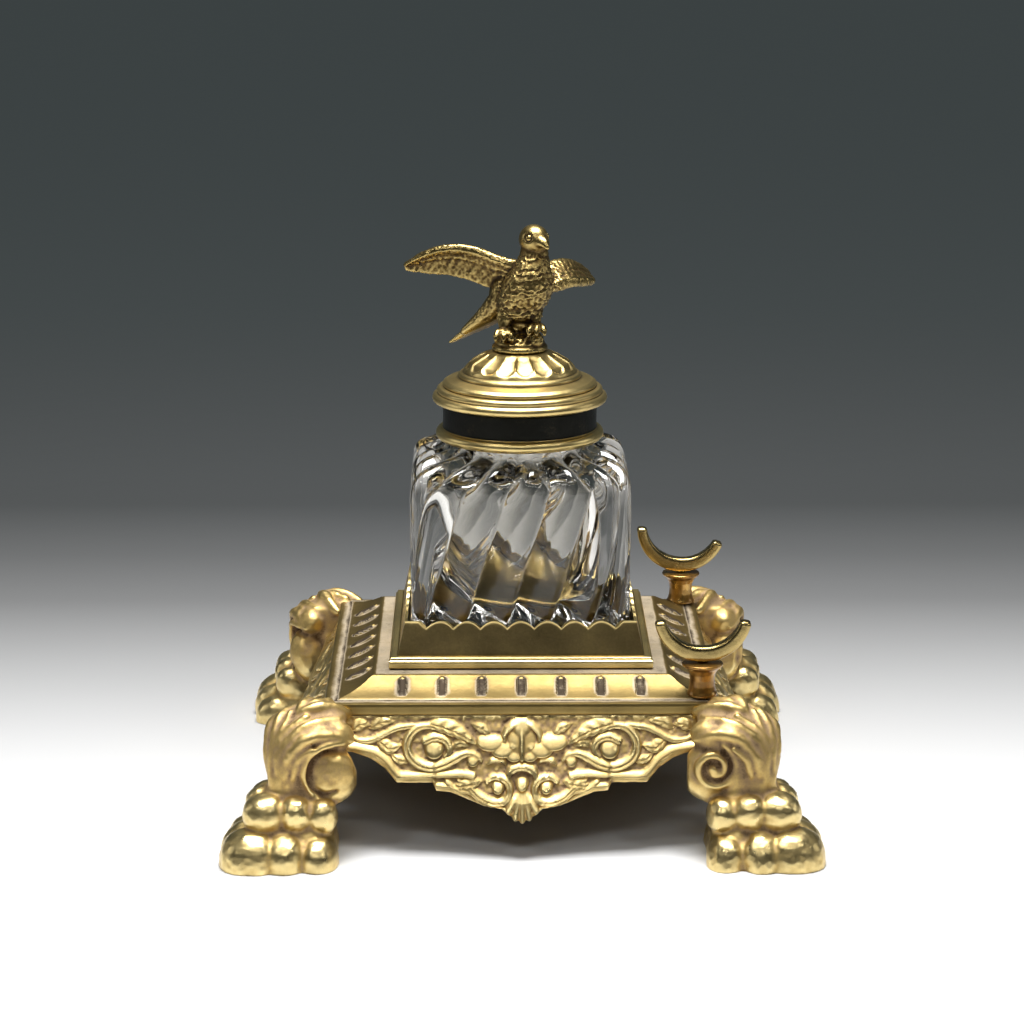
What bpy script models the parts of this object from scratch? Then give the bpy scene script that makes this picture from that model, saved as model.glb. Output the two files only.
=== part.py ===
"""Desk inkwell: a square glass well with a hinged brass lid and a bird finial, standing loose in the
scalloped gallery of a four-footed brass stand that carries two crescent pen rests.

Run it with: blender --background --python part.py

Dimensions are written in millimetres and turned into metres as each mesh is made. +Z is up, -Y is the
front, and the origin is the centre of the footprint at the level on which the paws stand.
"""

import math

import bmesh
import bpy
from mathutils import Matrix, Vector

MM = 0.001
GAP = 0.3  # between pieces that touch

# Stand: a cast plinth on four paw feet
FOOT_OUT = 82.5  # half of the width across the toes
LEDGE_HALF = 54.5  # half of the square moulding
LEDGE_TOP = 39.5
LEDGE_BOTTOM = 36.0
COVE_FOOT = 50.8  # half width where the cove meets the ledge
PLATEAU_HALF = 41.5
PLATEAU_Z = 44.0
SHELL = 3.0  # thickness of the casting under the plateau
APRON_SLOPE = 0.57  # outward flare for each unit of drop
APRON_WALL = 2.6
APRON_END = 46.7  # half length of an apron, up to the knee of each leg
LEG_SCREW_AT = 43.5  # x and y of the screw that holds a leg
LEG_SCREW_HOLE_R = 1.75
LEG_SCREW = {"head_r": 2.9, "head_h": 1.8, "shank_r": 1.45, "length": 6.6}
BOSS_R = 4.5  # the boss each leg screw enters, inside the cove
BOSS_TOP = 39.4

# Tray and gallery, which locate the loose well
TRAY_HALF = 37.0
TRAY_UNDER = 45.0
TRAY_FLOOR = 46.7
TRAY_TOP = 48.0
GALLERY_FOOT_HALF = 34.5
GALLERY_HEAD_HALF = 32.4
GALLERY_FOOT_Z = 47.5
GALLERY_HEAD_Z = 57.0
GALLERY_SHEET = 0.8
SCALLOP_PITCH = 7.5
SCALLOP_DEPTH = 2.0
SCALLOPS = 7  # full arcs on each side
TRAY_SCREW_HOLE_R = 2.2
TRAY_SCREW = {"head_r": 4.0, "head_h": 2.0, "shank_r": 1.9, "length": 5.1}

# Pen rests on the right, front and rear
REST_X = 50.0
PEN_RESTS = {"front": (-47.5, 0.0), "rear": (49.5, -11.0)}  # y, and the turn of the crescent in degrees
REST_SEAT_Z = 39.8
PAD_R = 4.4  # spot-faced pad under a spool
SPOOL_HEIGHT = 9.2
CRESCENT_R = 13.6
CRESCENT_SPAN = 81.0  # degrees each side of the lowest point
CRESCENT_DEPTH = 4.0
STEM_R = 1.2
STEM_HOLE_R = 1.5

# Well
WELL_HALF = 31.0
WELL_BASE = 47.0
WELL_SHOULDER = 91.0
NECK_R = 19.6
NECK_TOP = 111.5
MOUTH_R = 15.0
CAVITY_FLOOR = 58.0
CAVITY_TOP = 89.0

# Collar, lid and hinge
BAND_R = 22.0
COLLAR_WALL = 0.8
CEMENT_FOOT = 103.4
COLLAR_TOP = 113.0
LIP_R = 17.0
LID_R = 25.0
LID_UNDER = 113.4
LID_TOP = 127.9
DISC_R = 8.0
STUD_R = 1.5
STUD_HOLE_R = 1.8
STUD_END = 121.4
NUT_FOOT = 123.6
NUT_TOP = 126.2
HINGE_Y = 27.2
HINGE_Z = 113.2
LEAF_FOOT = 106.4  # lower edge of the leaf on the collar
BARREL_R = 1.9
PIN_R = 0.8
PIN_HOLE_R = 0.95
KNUCKLE_OUT = 6.0
KNUCKLE_IN = 2.1

CORNERS = {"front_left": (-1, -1), "front_right": (1, -1), "rear_left": (-1, 1), "rear_right": (1, 1)}


# ---------------------------------------------------------------- materials


def finish(name, colour, roughness, metallic=0.0, transmission=0.0):
    material = bpy.data.materials.new(name)
    material.use_nodes = True
    shader = material.node_tree.nodes["Principled BSDF"]
    shader.inputs["Base Color"].default_value = (*colour, 1.0)
    shader.inputs["Roughness"].default_value = roughness
    shader.inputs["Metallic"].default_value = metallic
    shader.inputs["Transmission Weight"].default_value = transmission
    return material


def make_finishes():
    return {
        "cast_brass": finish("cast_brass", (0.60, 0.46, 0.20), 0.38, 1.0),
        "spun_brass": finish("spun_brass", (0.66, 0.52, 0.24), 0.25, 1.0),
        "lacquered_brass": finish("lacquered_brass", (0.60, 0.33, 0.10), 0.22, 1.0),
        "steel": finish("steel", (0.50, 0.48, 0.44), 0.40, 1.0),
        "glass": finish("glass", (0.93, 0.95, 0.95), 0.02, 0.0, 1.0),
        "plaster": finish("plaster", (0.72, 0.68, 0.58), 0.85),
    }


# ---------------------------------------------------------------- mesh helpers


def circle(radius, z, count=32, centre=(0.0, 0.0)):
    """One level ring of points round a vertical axis."""
    turn = 2 * math.pi / count
    return [
        Vector((centre[0] + radius * math.cos(i * turn), centre[1] + radius * math.sin(i * turn), z))
        for i in range(count)
    ]


def square(half, z, corner=0.0, steps=0, centre=(0.0, 0.0)):
    """One level ring in a square with round corners; steps is the number of facets in each corner."""
    ring = []
    for quarter, (sx, sy) in enumerate(((1, 1), (-1, 1), (-1, -1), (1, -1))):
        for step in range(steps + 1):
            angle = math.radians(90 * quarter + (90 * step / steps if steps else 45))
            reach = corner if steps else 0.0
            x = centre[0] + sx * (half - corner) + reach * math.cos(angle)
            y = centre[1] + sy * (half - corner) + reach * math.sin(angle)
            ring.append(Vector((x, y, z)))
    return ring


def skin(name, rings, closed=False):
    """A mesh through rings of equal count. It is capped at both ends, or its last ring meets its first."""
    mesh_data = bmesh.new()
    rows = [[mesh_data.verts.new(point * MM) for point in ring] for ring in rings]
    count = len(rows[0])
    pairs = list(zip(rows, rows[1:]))
    if closed:
        pairs.append((rows[-1], rows[0]))
    else:
        mesh_data.faces.new(rows[0])
        mesh_data.faces.new(rows[-1])
    for low, high in pairs:
        for i in range(count):
            j = (i + 1) % count
            mesh_data.faces.new((low[i], low[j], high[j], high[i]))
    bmesh.ops.recalc_face_normals(mesh_data, faces=mesh_data.faces)
    mesh = bpy.data.meshes.new(name)
    mesh_data.to_mesh(mesh)
    mesh_data.free()
    mesh.shade_smooth()
    mesh.set_sharp_from_angle(angle=math.radians(35))
    return mesh


def turned(name, profile, count=32, closed=False, centre=(0.0, 0.0)):
    """A mesh turned about a vertical axis from (radius, z) points."""
    return skin(name, [circle(radius, z, count, centre) for radius, z in profile], closed)


def tube(name, stations, side, count=10):
    """A closed body along stations, each (centre, half width, half height), with elliptical sections.

    Half widths lie along `side`, squared up to the path, and half heights lie across both.
    """
    turn = 2 * math.pi / count
    centres = [Vector(centre) for centre, _, _ in stations]
    rings = []
    for index, (_, width, height) in enumerate(stations):
        ahead = centres[min(index + 1, len(centres) - 1)] - centres[max(index - 1, 0)]
        up = Vector(side).cross(ahead).normalized() * height
        across = ahead.cross(up).normalized() * width
        spokes = [across * math.cos(i * turn) + up * math.sin(i * turn) for i in range(count)]
        rings.append([centres[index] + spoke for spoke in spokes])
    return skin(name, rings)


def block(name, low, high):
    """A box between two corners."""
    ring = [(low[0], low[1]), (high[0], low[1]), (high[0], high[1]), (low[0], high[1])]
    return skin(name, [[Vector((x, y, z)) for x, y in ring] for z in (low[2], high[2])])


def along_x(mesh):
    """Turns a mesh made about the vertical axis so that its axis lies along X."""
    mesh.transform(Matrix.Rotation(math.radians(90), 4, "Y"))
    return mesh


def screw_mesh(name, head_r, head_h, shank_r, length):
    """A cheese-head screw, head down, with its shoulder at the origin and its shank up."""
    profile = [(0.5, -head_h), (head_r * 0.85, -head_h), (head_r, -head_h * 0.75), (head_r, 0.0)]
    profile += [(shank_r, 0.0), (shank_r, length - shank_r * 0.5), (shank_r * 0.5, length)]
    return turned(name, profile, 12)


# ---------------------------------------------------------------- objects


class Bench:
    """Makes the named objects and parents each one to the frame of its moving body."""

    def __init__(self):
        self.finishes = make_finishes()
        self.collection = bpy.context.scene.collection

    def frame(self, name, location, parent=None):
        empty = bpy.data.objects.new(name, None)
        self.collection.objects.link(empty)
        empty.parent = parent
        empty.location = (Vector(location) - (Vector(parent["at"]) if parent else Vector())) * MM
        empty["at"] = location
        return empty

    def piece(self, mesh, finish_name, parent, at=(0.0, 0.0, 0.0)):
        """A sub-part whose mesh is drawn about the point `at`, given in the stand's frame."""
        obj = bpy.data.objects.new(mesh.name, mesh)
        self.collection.objects.link(obj)
        obj.data.materials.append(self.finishes[finish_name])
        obj.parent = parent
        obj.location = (Vector(at) - Vector(parent["at"])) * MM
        return obj

    def shape(self, obj, mesh, operation):
        """Adds a mesh to the object or takes it away, both drawn about the same point."""
        tool = bpy.data.objects.new(mesh.name, mesh)
        self.collection.objects.link(tool)
        tool.parent = obj
        tool.hide_render = True
        tool.display_type = "WIRE"
        step = obj.modifiers.new(mesh.name, "BOOLEAN")
        step.object = tool
        step.operation = operation
        step.solver = "EXACT"

    def add(self, obj, mesh):
        self.shape(obj, mesh, "UNION")

    def cut(self, obj, mesh):
        self.shape(obj, mesh, "DIFFERENCE")


# ---------------------------------------------------------------- stand


def cove_profile(grow=0.0, steps=5):
    """(half width, z) points up the hollow moulding from the ledge to the plateau."""
    run = COVE_FOOT - PLATEAU_HALF
    rise = PLATEAU_Z - 0.3 - LEDGE_TOP
    angles = [math.radians(90 * i / steps) for i in range(steps + 1)]
    return [
        (COVE_FOOT - run * math.sin(angle) + grow, LEDGE_TOP + rise * (1 - math.cos(angle)) + grow)
        for angle in angles
    ]


def apron_front(z):
    """Distance of an apron's face from the middle of the stand, at height z."""
    return LEDGE_HALF - 0.5 + APRON_SLOPE * (LEDGE_BOTTOM + 0.5 - z)


# Lower edge of an apron from the knee to the middle, as (x, z): a hollow curve, a flat, and a pendant.
APRON_EDGE = [
    (APRON_END, 26.8),
    (41.5, 25.2),
    (37.5, 22.8),
    (34.2, 19.3),
    (24.5, 19.3),
    (23.5, 17.3),
    (19.5, 17.0),
    (12.0, 14.2),
    (5.5, 13.3),
    (3.8, 11.4),
]
APRON_TIP_Z = 10.0
APRON_ROOT_Z = 38.0  # the top of an apron, buried in the ledge


def apron_mesh(name):
    """The front apron: its outline as a plate that flares outward."""
    right = [(APRON_END, APRON_ROOT_Z), *APRON_EDGE]
    outline = right + [(0.0, APRON_TIP_Z)] + [(-x, z) for x, z in reversed(right)]
    face = [Vector((x, -apron_front(z), z)) for x, z in outline]
    back = [point + Vector((0.0, APRON_WALL, 0.0)) for point in face]
    return skin(name, [face, back])


def make_plinth(bench, stand):
    under = [(PLATEAU_HALF - SHELL, PLATEAU_Z - SHELL), (COVE_FOOT - 1.3, LEDGE_BOTTOM)]
    rim = [
        (LEDGE_HALF - 0.5, LEDGE_BOTTOM),
        (LEDGE_HALF, LEDGE_BOTTOM + 0.5),
        (LEDGE_HALF, LEDGE_TOP - 0.5),
        (LEDGE_HALF - 0.5, LEDGE_TOP),
    ]
    top = [(PLATEAU_HALF - 0.3, PLATEAU_Z)]
    profile = under + rim + cove_profile() + top
    plinth = bench.piece(skin("plinth", [square(half, z) for half, z in profile]), "cast_brass", stand)
    for turn in range(4):
        apron = apron_mesh(f"apron_{turn}")
        apron.transform(Matrix.Rotation(math.radians(90 * turn), 4, "Z"))
        bench.add(plinth, apron)
    for corner, (sx, sy) in CORNERS.items():
        centre = (sx * LEG_SCREW_AT, sy * LEG_SCREW_AT)
        post = [(BOSS_R, LEDGE_BOTTOM), (BOSS_R, BOSS_TOP)]
        bore = [(LEG_SCREW_HOLE_R, LEDGE_BOTTOM - 1), (LEG_SCREW_HOLE_R, BOSS_TOP - 0.2)]
        boss = turned(f"screw_boss_{corner}", post, 20, False, centre)
        hole = turned(f"screw_hole_{corner}", bore, 16, False, centre)
        bench.add(plinth, boss)
        bench.cut(plinth, hole)
    for place, (y, _) in PEN_RESTS.items():
        centre = (REST_X, y)
        spot = turned(f"rest_spot_{place}", [(PAD_R, REST_SEAT_Z), (PAD_R, PLATEAU_Z + 2)], 24, False, centre)
        pad = turned(f"rest_pad_{place}", [(PAD_R, LEDGE_TOP - 2), (PAD_R, REST_SEAT_Z)], 24, False, centre)
        bore = [(STEM_HOLE_R, LEDGE_BOTTOM - 2), (STEM_HOLE_R, PLATEAU_Z)]
        hole = turned(f"rest_hole_{place}", bore, 16, False, centre)
        bench.cut(plinth, spot)
        bench.add(plinth, pad)
        bench.cut(plinth, hole)
    bore = [(TRAY_SCREW_HOLE_R, PLATEAU_Z - 6), (TRAY_SCREW_HOLE_R, PLATEAU_Z + 2)]
    bench.cut(plinth, turned("tray_screw_hole", bore, 16))


# A leg from the ground up: (inner side, outer side, corner radius, z), the sides measured along x and y.
LEG_SECTIONS = [
    (50.5, FOOT_OUT - 0.4, 5.0, 0.0),
    (50.0, FOOT_OUT, 6.0, 1.6),
    (50.3, FOOT_OUT - 1.6, 6.5, 6.0),
    (51.2, FOOT_OUT - 5.0, 6.5, 9.5),
    (51.7, FOOT_OUT - 6.3, 6.5, 11.0),
    (50.6, FOOT_OUT - 5.9, 6.5, 14.0),
    (51.6, FOOT_OUT - 7.6, 6.0, 17.6),
    (53.0, FOOT_OUT - 11.4, 5.0, 20.5),
    (48.6, FOOT_OUT - 12.6, 5.0, 22.3),
    (46.0, FOOT_OUT - 12.6, 4.0, 24.6),
    (APRON_END + GAP, FOOT_OUT - 12.8, 3.5, 26.4),
    (APRON_END + GAP, FOOT_OUT - 13.4, 3.5, 31.0),
    (APRON_END + GAP, FOOT_OUT - 15.2, 3.5, 36.0),
    (48.0, FOOT_OUT - 17.4, 3.5, 39.2),
    (52.8, FOOT_OUT - 18.2, 3.0, 40.1),
    (54.0, FOOT_OUT - 21.4, 2.0, 42.2),
]
LUG_TOP = LEDGE_BOTTOM - GAP
LUG_UNDER = 32.5
LUG_REACH = 5.5  # from the screw to the end of the lug


def plinth_clearance(name):
    """The plinth's upper moulding grown by the gap, which the knee of a leg is shaped to."""
    ledge = LEDGE_HALF + GAP
    profile = [(ledge, LEDGE_BOTTOM - GAP), (ledge, LEDGE_TOP + GAP)]
    profile += [(half, z) for half, z in cove_profile(GAP)]
    profile += [(PLATEAU_HALF, PLATEAU_Z + 2)]
    return skin(name, [square(half, z) for half, z in profile])


def make_leg(bench, stand, corner, sx, sy):
    rings = []
    for inner, outer, radius, z in LEG_SECTIONS:
        middle = (inner + outer) / 2
        rings.append(square((outer - inner) / 2, z, radius, 3, (sx * middle, sy * middle)))
    leg = bench.piece(skin(f"leg_{corner}", rings), "cast_brass", stand)
    bench.cut(leg, plinth_clearance(f"plinth_room_{corner}"))
    near = LEG_SCREW_AT - LUG_REACH
    far = APRON_END + GAP + 3.0
    low = (min(sx * near, sx * far), min(sy * near, sy * far), LUG_UNDER)
    high = (max(sx * near, sx * far), max(sy * near, sy * far), LUG_TOP)
    bench.add(leg, block(f"lug_{corner}", low, high))
    centre = (sx * LEG_SCREW_AT, sy * LEG_SCREW_AT)
    bore = [(LEG_SCREW_HOLE_R, LUG_UNDER - 1), (LEG_SCREW_HOLE_R, LUG_TOP + 1)]
    bench.cut(leg, turned(f"lug_hole_{corner}", bore, 16, False, centre))


def make_leg_screw(bench, stand, corner, sx, sy):
    """The screw that draws a leg's lug up against its boss, from below."""
    mesh = screw_mesh(f"leg_screw_{corner}", **LEG_SCREW)
    at = (sx * LEG_SCREW_AT, sy * LEG_SCREW_AT, LUG_UNDER - GAP)
    screw = bench.piece(mesh, "steel", stand, at)
    bench.cut(screw, block(f"leg_screw_slot_{corner}", (-3.5, -0.4, -2.5), (3.5, 0.4, -0.9)))


def make_tray(bench, stand):
    outside = [
        (GALLERY_HEAD_HALF - 2.0, PLATEAU_Z + GAP),
        (GALLERY_HEAD_HALF - 2.0, TRAY_UNDER),
        (TRAY_HALF - 0.3, TRAY_UNDER),
        (TRAY_HALF, TRAY_UNDER + 0.3),
        (TRAY_HALF, TRAY_UNDER + 1.5),
        (TRAY_HALF - 0.3, TRAY_UNDER + 1.8),
        (GALLERY_FOOT_HALF + 0.6, TRAY_TOP),
        (GALLERY_FOOT_HALF + GAP, TRAY_TOP),
    ]
    inside = [
        (GALLERY_FOOT_HALF + GAP, GALLERY_FOOT_Z - GAP),
        (WELL_HALF + GAP, GALLERY_FOOT_Z - GAP),
        (WELL_HALF + GAP, TRAY_FLOOR),
    ]
    mesh = skin("tray", [square(half, z) for half, z in outside + inside])
    tray = bench.piece(mesh, "cast_brass", stand)
    bore = [(TRAY_SCREW_HOLE_R, PLATEAU_Z - 1), (TRAY_SCREW_HOLE_R, TRAY_FLOOR - 0.5)]
    bench.cut(tray, turned("tray_thread", bore, 16))
    at = (0.0, 0.0, PLATEAU_Z - SHELL - GAP)
    screw = bench.piece(screw_mesh("tray_screw", **TRAY_SCREW), "steel", stand, at)
    bench.cut(screw, block("tray_screw_slot", (-4.5, -0.5, -2.6), (4.5, 0.5, -1.1)))


def scallop(x):
    """Height of the gallery's edge below its peaks, at distance x from the middle of a side."""
    half_run = SCALLOP_PITCH * SCALLOPS / 2
    if abs(x) > half_run + SCALLOP_PITCH / 2:
        return 0.0
    across = (x + half_run) % SCALLOP_PITCH / SCALLOP_PITCH * 2 - 1
    return SCALLOP_DEPTH * across * across


def make_gallery(bench, stand):
    """A sheet fence that leans inward, with a row of scallops along the top of each side."""
    facets = 3
    fence = []
    pitches = SCALLOPS + 1
    marks = [(i / facets - pitches / 2) * SCALLOP_PITCH for i in range(pitches * facets + 1)]
    share = [x / GALLERY_HEAD_HALF for x in marks] + [1.0]
    for quarter in range(4):
        angle = math.radians(90 * quarter)
        right = Vector((math.cos(angle), math.sin(angle), 0.0))
        out = Vector((math.sin(angle), -math.cos(angle), 0.0))
        for part in share:
            head_z = GALLERY_HEAD_Z - scallop(part * GALLERY_HEAD_HALF)
            level = (head_z - GALLERY_FOOT_Z) / (GALLERY_HEAD_Z - GALLERY_FOOT_Z)
            head = GALLERY_FOOT_HALF + (GALLERY_HEAD_HALF - GALLERY_FOOT_HALF) * level
            column = []
            for half, z in ((GALLERY_FOOT_HALF, GALLERY_FOOT_Z), (head, head_z)):
                for wall in (half, half - GALLERY_SHEET):
                    column.append((right * part + out) * wall + Vector((0.0, 0.0, z)))
            foot_out, foot_in, head_out, head_in = column
            fence.append([foot_out, head_out, head_in, foot_in])
    bench.piece(skin("gallery", fence, closed=True), "spun_brass", stand)


def make_pen_rest(bench, stand, place, y, tilt):
    """A spool standing on its pad, and a crescent whose stem runs down through it into the plinth."""
    low = REST_SEAT_Z + GAP
    spool_profile = [(4.2, 0.0), (4.2, 0.6), (3.6, 2.4), (3.45, 4.4), (3.9, 6.6), (5.3, 8.3)]
    spool_profile += [(5.7, 8.6), (5.7, SPOOL_HEIGHT - 0.2), (5.5, SPOOL_HEIGHT)]
    spool_profile += [(STEM_HOLE_R, SPOOL_HEIGHT), (STEM_HOLE_R, 0.0)]
    spool = turned(f"pen_rest_spool_{place}", spool_profile, 20, closed=True)
    bench.piece(spool, "lacquered_brass", stand, (REST_X, y, low))

    bottom = SPOOL_HEIGHT + GAP
    centre_z = bottom + CRESCENT_R
    rings = []
    steps = 14
    for step in range(steps + 1):
        share = 2 * step / steps - 1
        angle = math.radians(share * CRESCENT_SPAN + tilt)
        outward = Vector((math.sin(angle), 0.0, -math.cos(angle)))
        thick = 3.7 - 0.6 * abs(share)
        inner, outer, side = CRESCENT_R - thick, CRESCENT_R, CRESCENT_DEPTH / 2
        section = [(inner, 0.65), (inner + 0.5, 1.0), (outer - 0.5, 1.0), (outer, 0.65)]
        section += [(radius, -across) for radius, across in reversed(section)]
        centre = Vector((0.0, 0.0, centre_z))
        rings.append([centre + outward * radius + Vector((0.0, side * s, 0.0)) for radius, s in section])
    crescent = bench.piece(skin(f"pen_rest_crescent_{place}", rings), "spun_brass", stand, (REST_X, y, low))
    stem = [(STEM_R, LEDGE_BOTTOM + 0.4 - low), (STEM_R, bottom + 2.0)]
    bench.add(crescent, turned(f"pen_rest_stem_{place}", stem, 16))


# ---------------------------------------------------------------- well


def make_well(bench, well):
    """The glass, from its base up the outside, over the neck and down the inside of the ink cavity."""
    steps = 5
    outside = [
        (WELL_HALF - 0.6, 6.4, WELL_BASE),
        (WELL_HALF, 7.0, WELL_BASE + 0.8),
        (WELL_HALF, 7.0, WELL_SHOULDER),
        (WELL_HALF - 0.7, 8.0, WELL_SHOULDER + 3.6),
        (WELL_HALF - 2.5, 10.0, WELL_SHOULDER + 6.8),
        (WELL_HALF - 5.6, 14.0, WELL_SHOULDER + 9.2),
        (WELL_HALF - 9.4, 19.0, WELL_SHOULDER + 10.6),
        (NECK_R + 0.2, NECK_R + 0.2, WELL_SHOULDER + 11.3),
        (NECK_R, NECK_R, WELL_SHOULDER + 12.2),
        (NECK_R, NECK_R, NECK_TOP - 0.5),
        (NECK_R - 0.5, NECK_R - 0.5, NECK_TOP),
    ]
    inside = [
        (MOUTH_R + 0.4, MOUTH_R + 0.4, NECK_TOP),
        (MOUTH_R, MOUTH_R, NECK_TOP - 0.6),
        (MOUTH_R, MOUTH_R, CAVITY_TOP + 9.0),
        (MOUTH_R + 4.6, 12.0, CAVITY_TOP + 5.0),
        (MOUTH_R + 8.0, 8.0, CAVITY_TOP),
        (MOUTH_R + 7.0, 8.0, CAVITY_TOP - 10.0),
        (MOUTH_R + 3.0, 9.0, CAVITY_FLOOR + 3.0),
        (MOUTH_R + 1.0, 9.0, CAVITY_FLOOR),
    ]
    mesh = skin("glass_well", [square(half, z, radius, steps) for half, radius, z in outside + inside])
    bench.piece(mesh, "glass", well)
    inner = NECK_R + GAP
    outer = BAND_R - COLLAR_WALL - GAP
    plaster = [(inner, CEMENT_FOOT), (outer, CEMENT_FOOT), (outer, NECK_TOP), (inner, NECK_TOP)]
    bench.piece(turned("neck_cement", plaster, 32, closed=True), "plaster", well)


def make_collar(bench, well):
    wall = BAND_R - COLLAR_WALL
    bead = [
        (wall, 102.9),
        (BAND_R + 0.3, 102.6),
        (BAND_R + 1.5, 103.0),
        (BAND_R + 2.0, 104.2),
        (BAND_R + 1.5, 105.3),
        (BAND_R + 0.4, 105.8),
    ]
    band = [
        (BAND_R, 106.1),
        (BAND_R, COLLAR_TOP - 0.3),
        (BAND_R - 0.3, COLLAR_TOP),
        (LIP_R, COLLAR_TOP),
        (LIP_R, COLLAR_TOP - 1.0),
        (wall, COLLAR_TOP - 1.0),
    ]
    bench.piece(turned("collar", bead + band, 32, closed=True), "spun_brass", well)


def barrel(name, start, end, radius):
    """A solid round bar along X."""
    return along_x(turned(name, [(radius, start), (radius, end)], 16))


def make_hinge(bench, well, lid):
    """Two knuckles on the collar, one on the lid, and the pin through all three."""
    axis = (0.0, HINGE_Y, HINGE_Z)
    low = (-KNUCKLE_OUT, BAND_R + GAP - HINGE_Y, LEAF_FOOT - HINGE_Z)
    high = (KNUCKLE_OUT, 0.4, -1.0)
    leaf = bench.piece(block("collar_hinge_leaf", low, high), "spun_brass", well, axis)
    bench.cut(leaf, block("leaf_notch", (-KNUCKLE_IN, -2.6, -4.2), (KNUCKLE_IN, 1.0, 1.0)))
    for side, start, end in (("left", -KNUCKLE_OUT, -KNUCKLE_IN), ("right", KNUCKLE_IN, KNUCKLE_OUT)):
        bench.add(leaf, barrel(f"knuckle_{side}", start, end, BARREL_R))
    bench.cut(leaf, barrel("leaf_pin_hole", -8.0, 8.0, PIN_HOLE_R))

    inner = KNUCKLE_IN - GAP
    tab = bench.piece(barrel("lid_hinge_leaf", -inner, inner, BARREL_R), "spun_brass", lid, axis)
    outline = [(-1.7, 0.2), (0.6, 0.2), (0.6, 4.9), (-3.0, 4.9), (-3.0, 3.8), (-1.7, 3.8)]
    sides = [[Vector((x, y, z)) for y, z in outline] for x in (0.1 - inner, inner - 0.1)]
    bench.add(tab, skin("tab_arm", sides))
    bench.cut(tab, barrel("tab_pin_hole", -8.0, 8.0, PIN_HOLE_R))

    head = KNUCKLE_OUT + 0.2
    profile = [(1.0, -head - 0.8), (1.4, -head - 0.5), (1.4, -head), (PIN_R, -head)]
    profile += [(radius, -x) for radius, x in reversed(profile)]
    bench.piece(along_x(turned("hinge_pin", profile, 12)), "spun_brass", well, axis)


# ---------------------------------------------------------------- lid


def make_lid(bench, lid):
    """A hollow spun lid: a rolled rim, two steps, a dome, and a spigot that drops inside the collar."""
    outside = [
        (LID_R - 0.7, LID_UNDER),
        (LID_R, LID_UNDER + 1.2),
        (LID_R - 0.3, LID_UNDER + 2.4),
        (LID_R - 1.0, LID_UNDER + 2.9),
        (LID_R - 1.1, LID_UNDER + 3.9),
        (LID_R - 2.9, LID_UNDER + 4.7),
        (LID_R - 3.2, LID_UNDER + 5.8),
        (LID_R - 7.2, LID_UNDER + 7.2),
        (LID_R - 7.7, LID_UNDER + 8.4),
        (LID_R - 8.8, LID_UNDER + 9.0),
        (LID_R - 11.0, LID_UNDER + 11.2),
        (LID_R - 14.0, LID_UNDER + 13.1),
        (DISC_R + 0.2, LID_TOP),
        (STUD_HOLE_R, LID_TOP),
    ]
    inside = [
        (STUD_HOLE_R, LID_TOP - 1.2),
        (DISC_R, LID_TOP - 1.4),
        (LID_R - 14.0, LID_UNDER + 11.6),
        (LID_R - 11.6, LID_UNDER + 9.6),
        (LID_R - 9.0, LID_UNDER + 7.2),
        (LID_R - 4.6, LID_UNDER + 4.4),
        (LID_R - 2.6, LID_UNDER + 2.2),
        (LID_R - 2.6, LID_UNDER + 1.2),
        (LIP_R - 1.4, LID_UNDER + 1.2),
        (LIP_R - 1.4, LID_UNDER - 1.5),
        (LIP_R - 0.4, LID_UNDER - 1.5),
        (LIP_R - 0.4, LID_UNDER),
    ]
    bench.piece(turned("lid", outside + inside, 32, closed=True), "spun_brass", lid)


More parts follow.
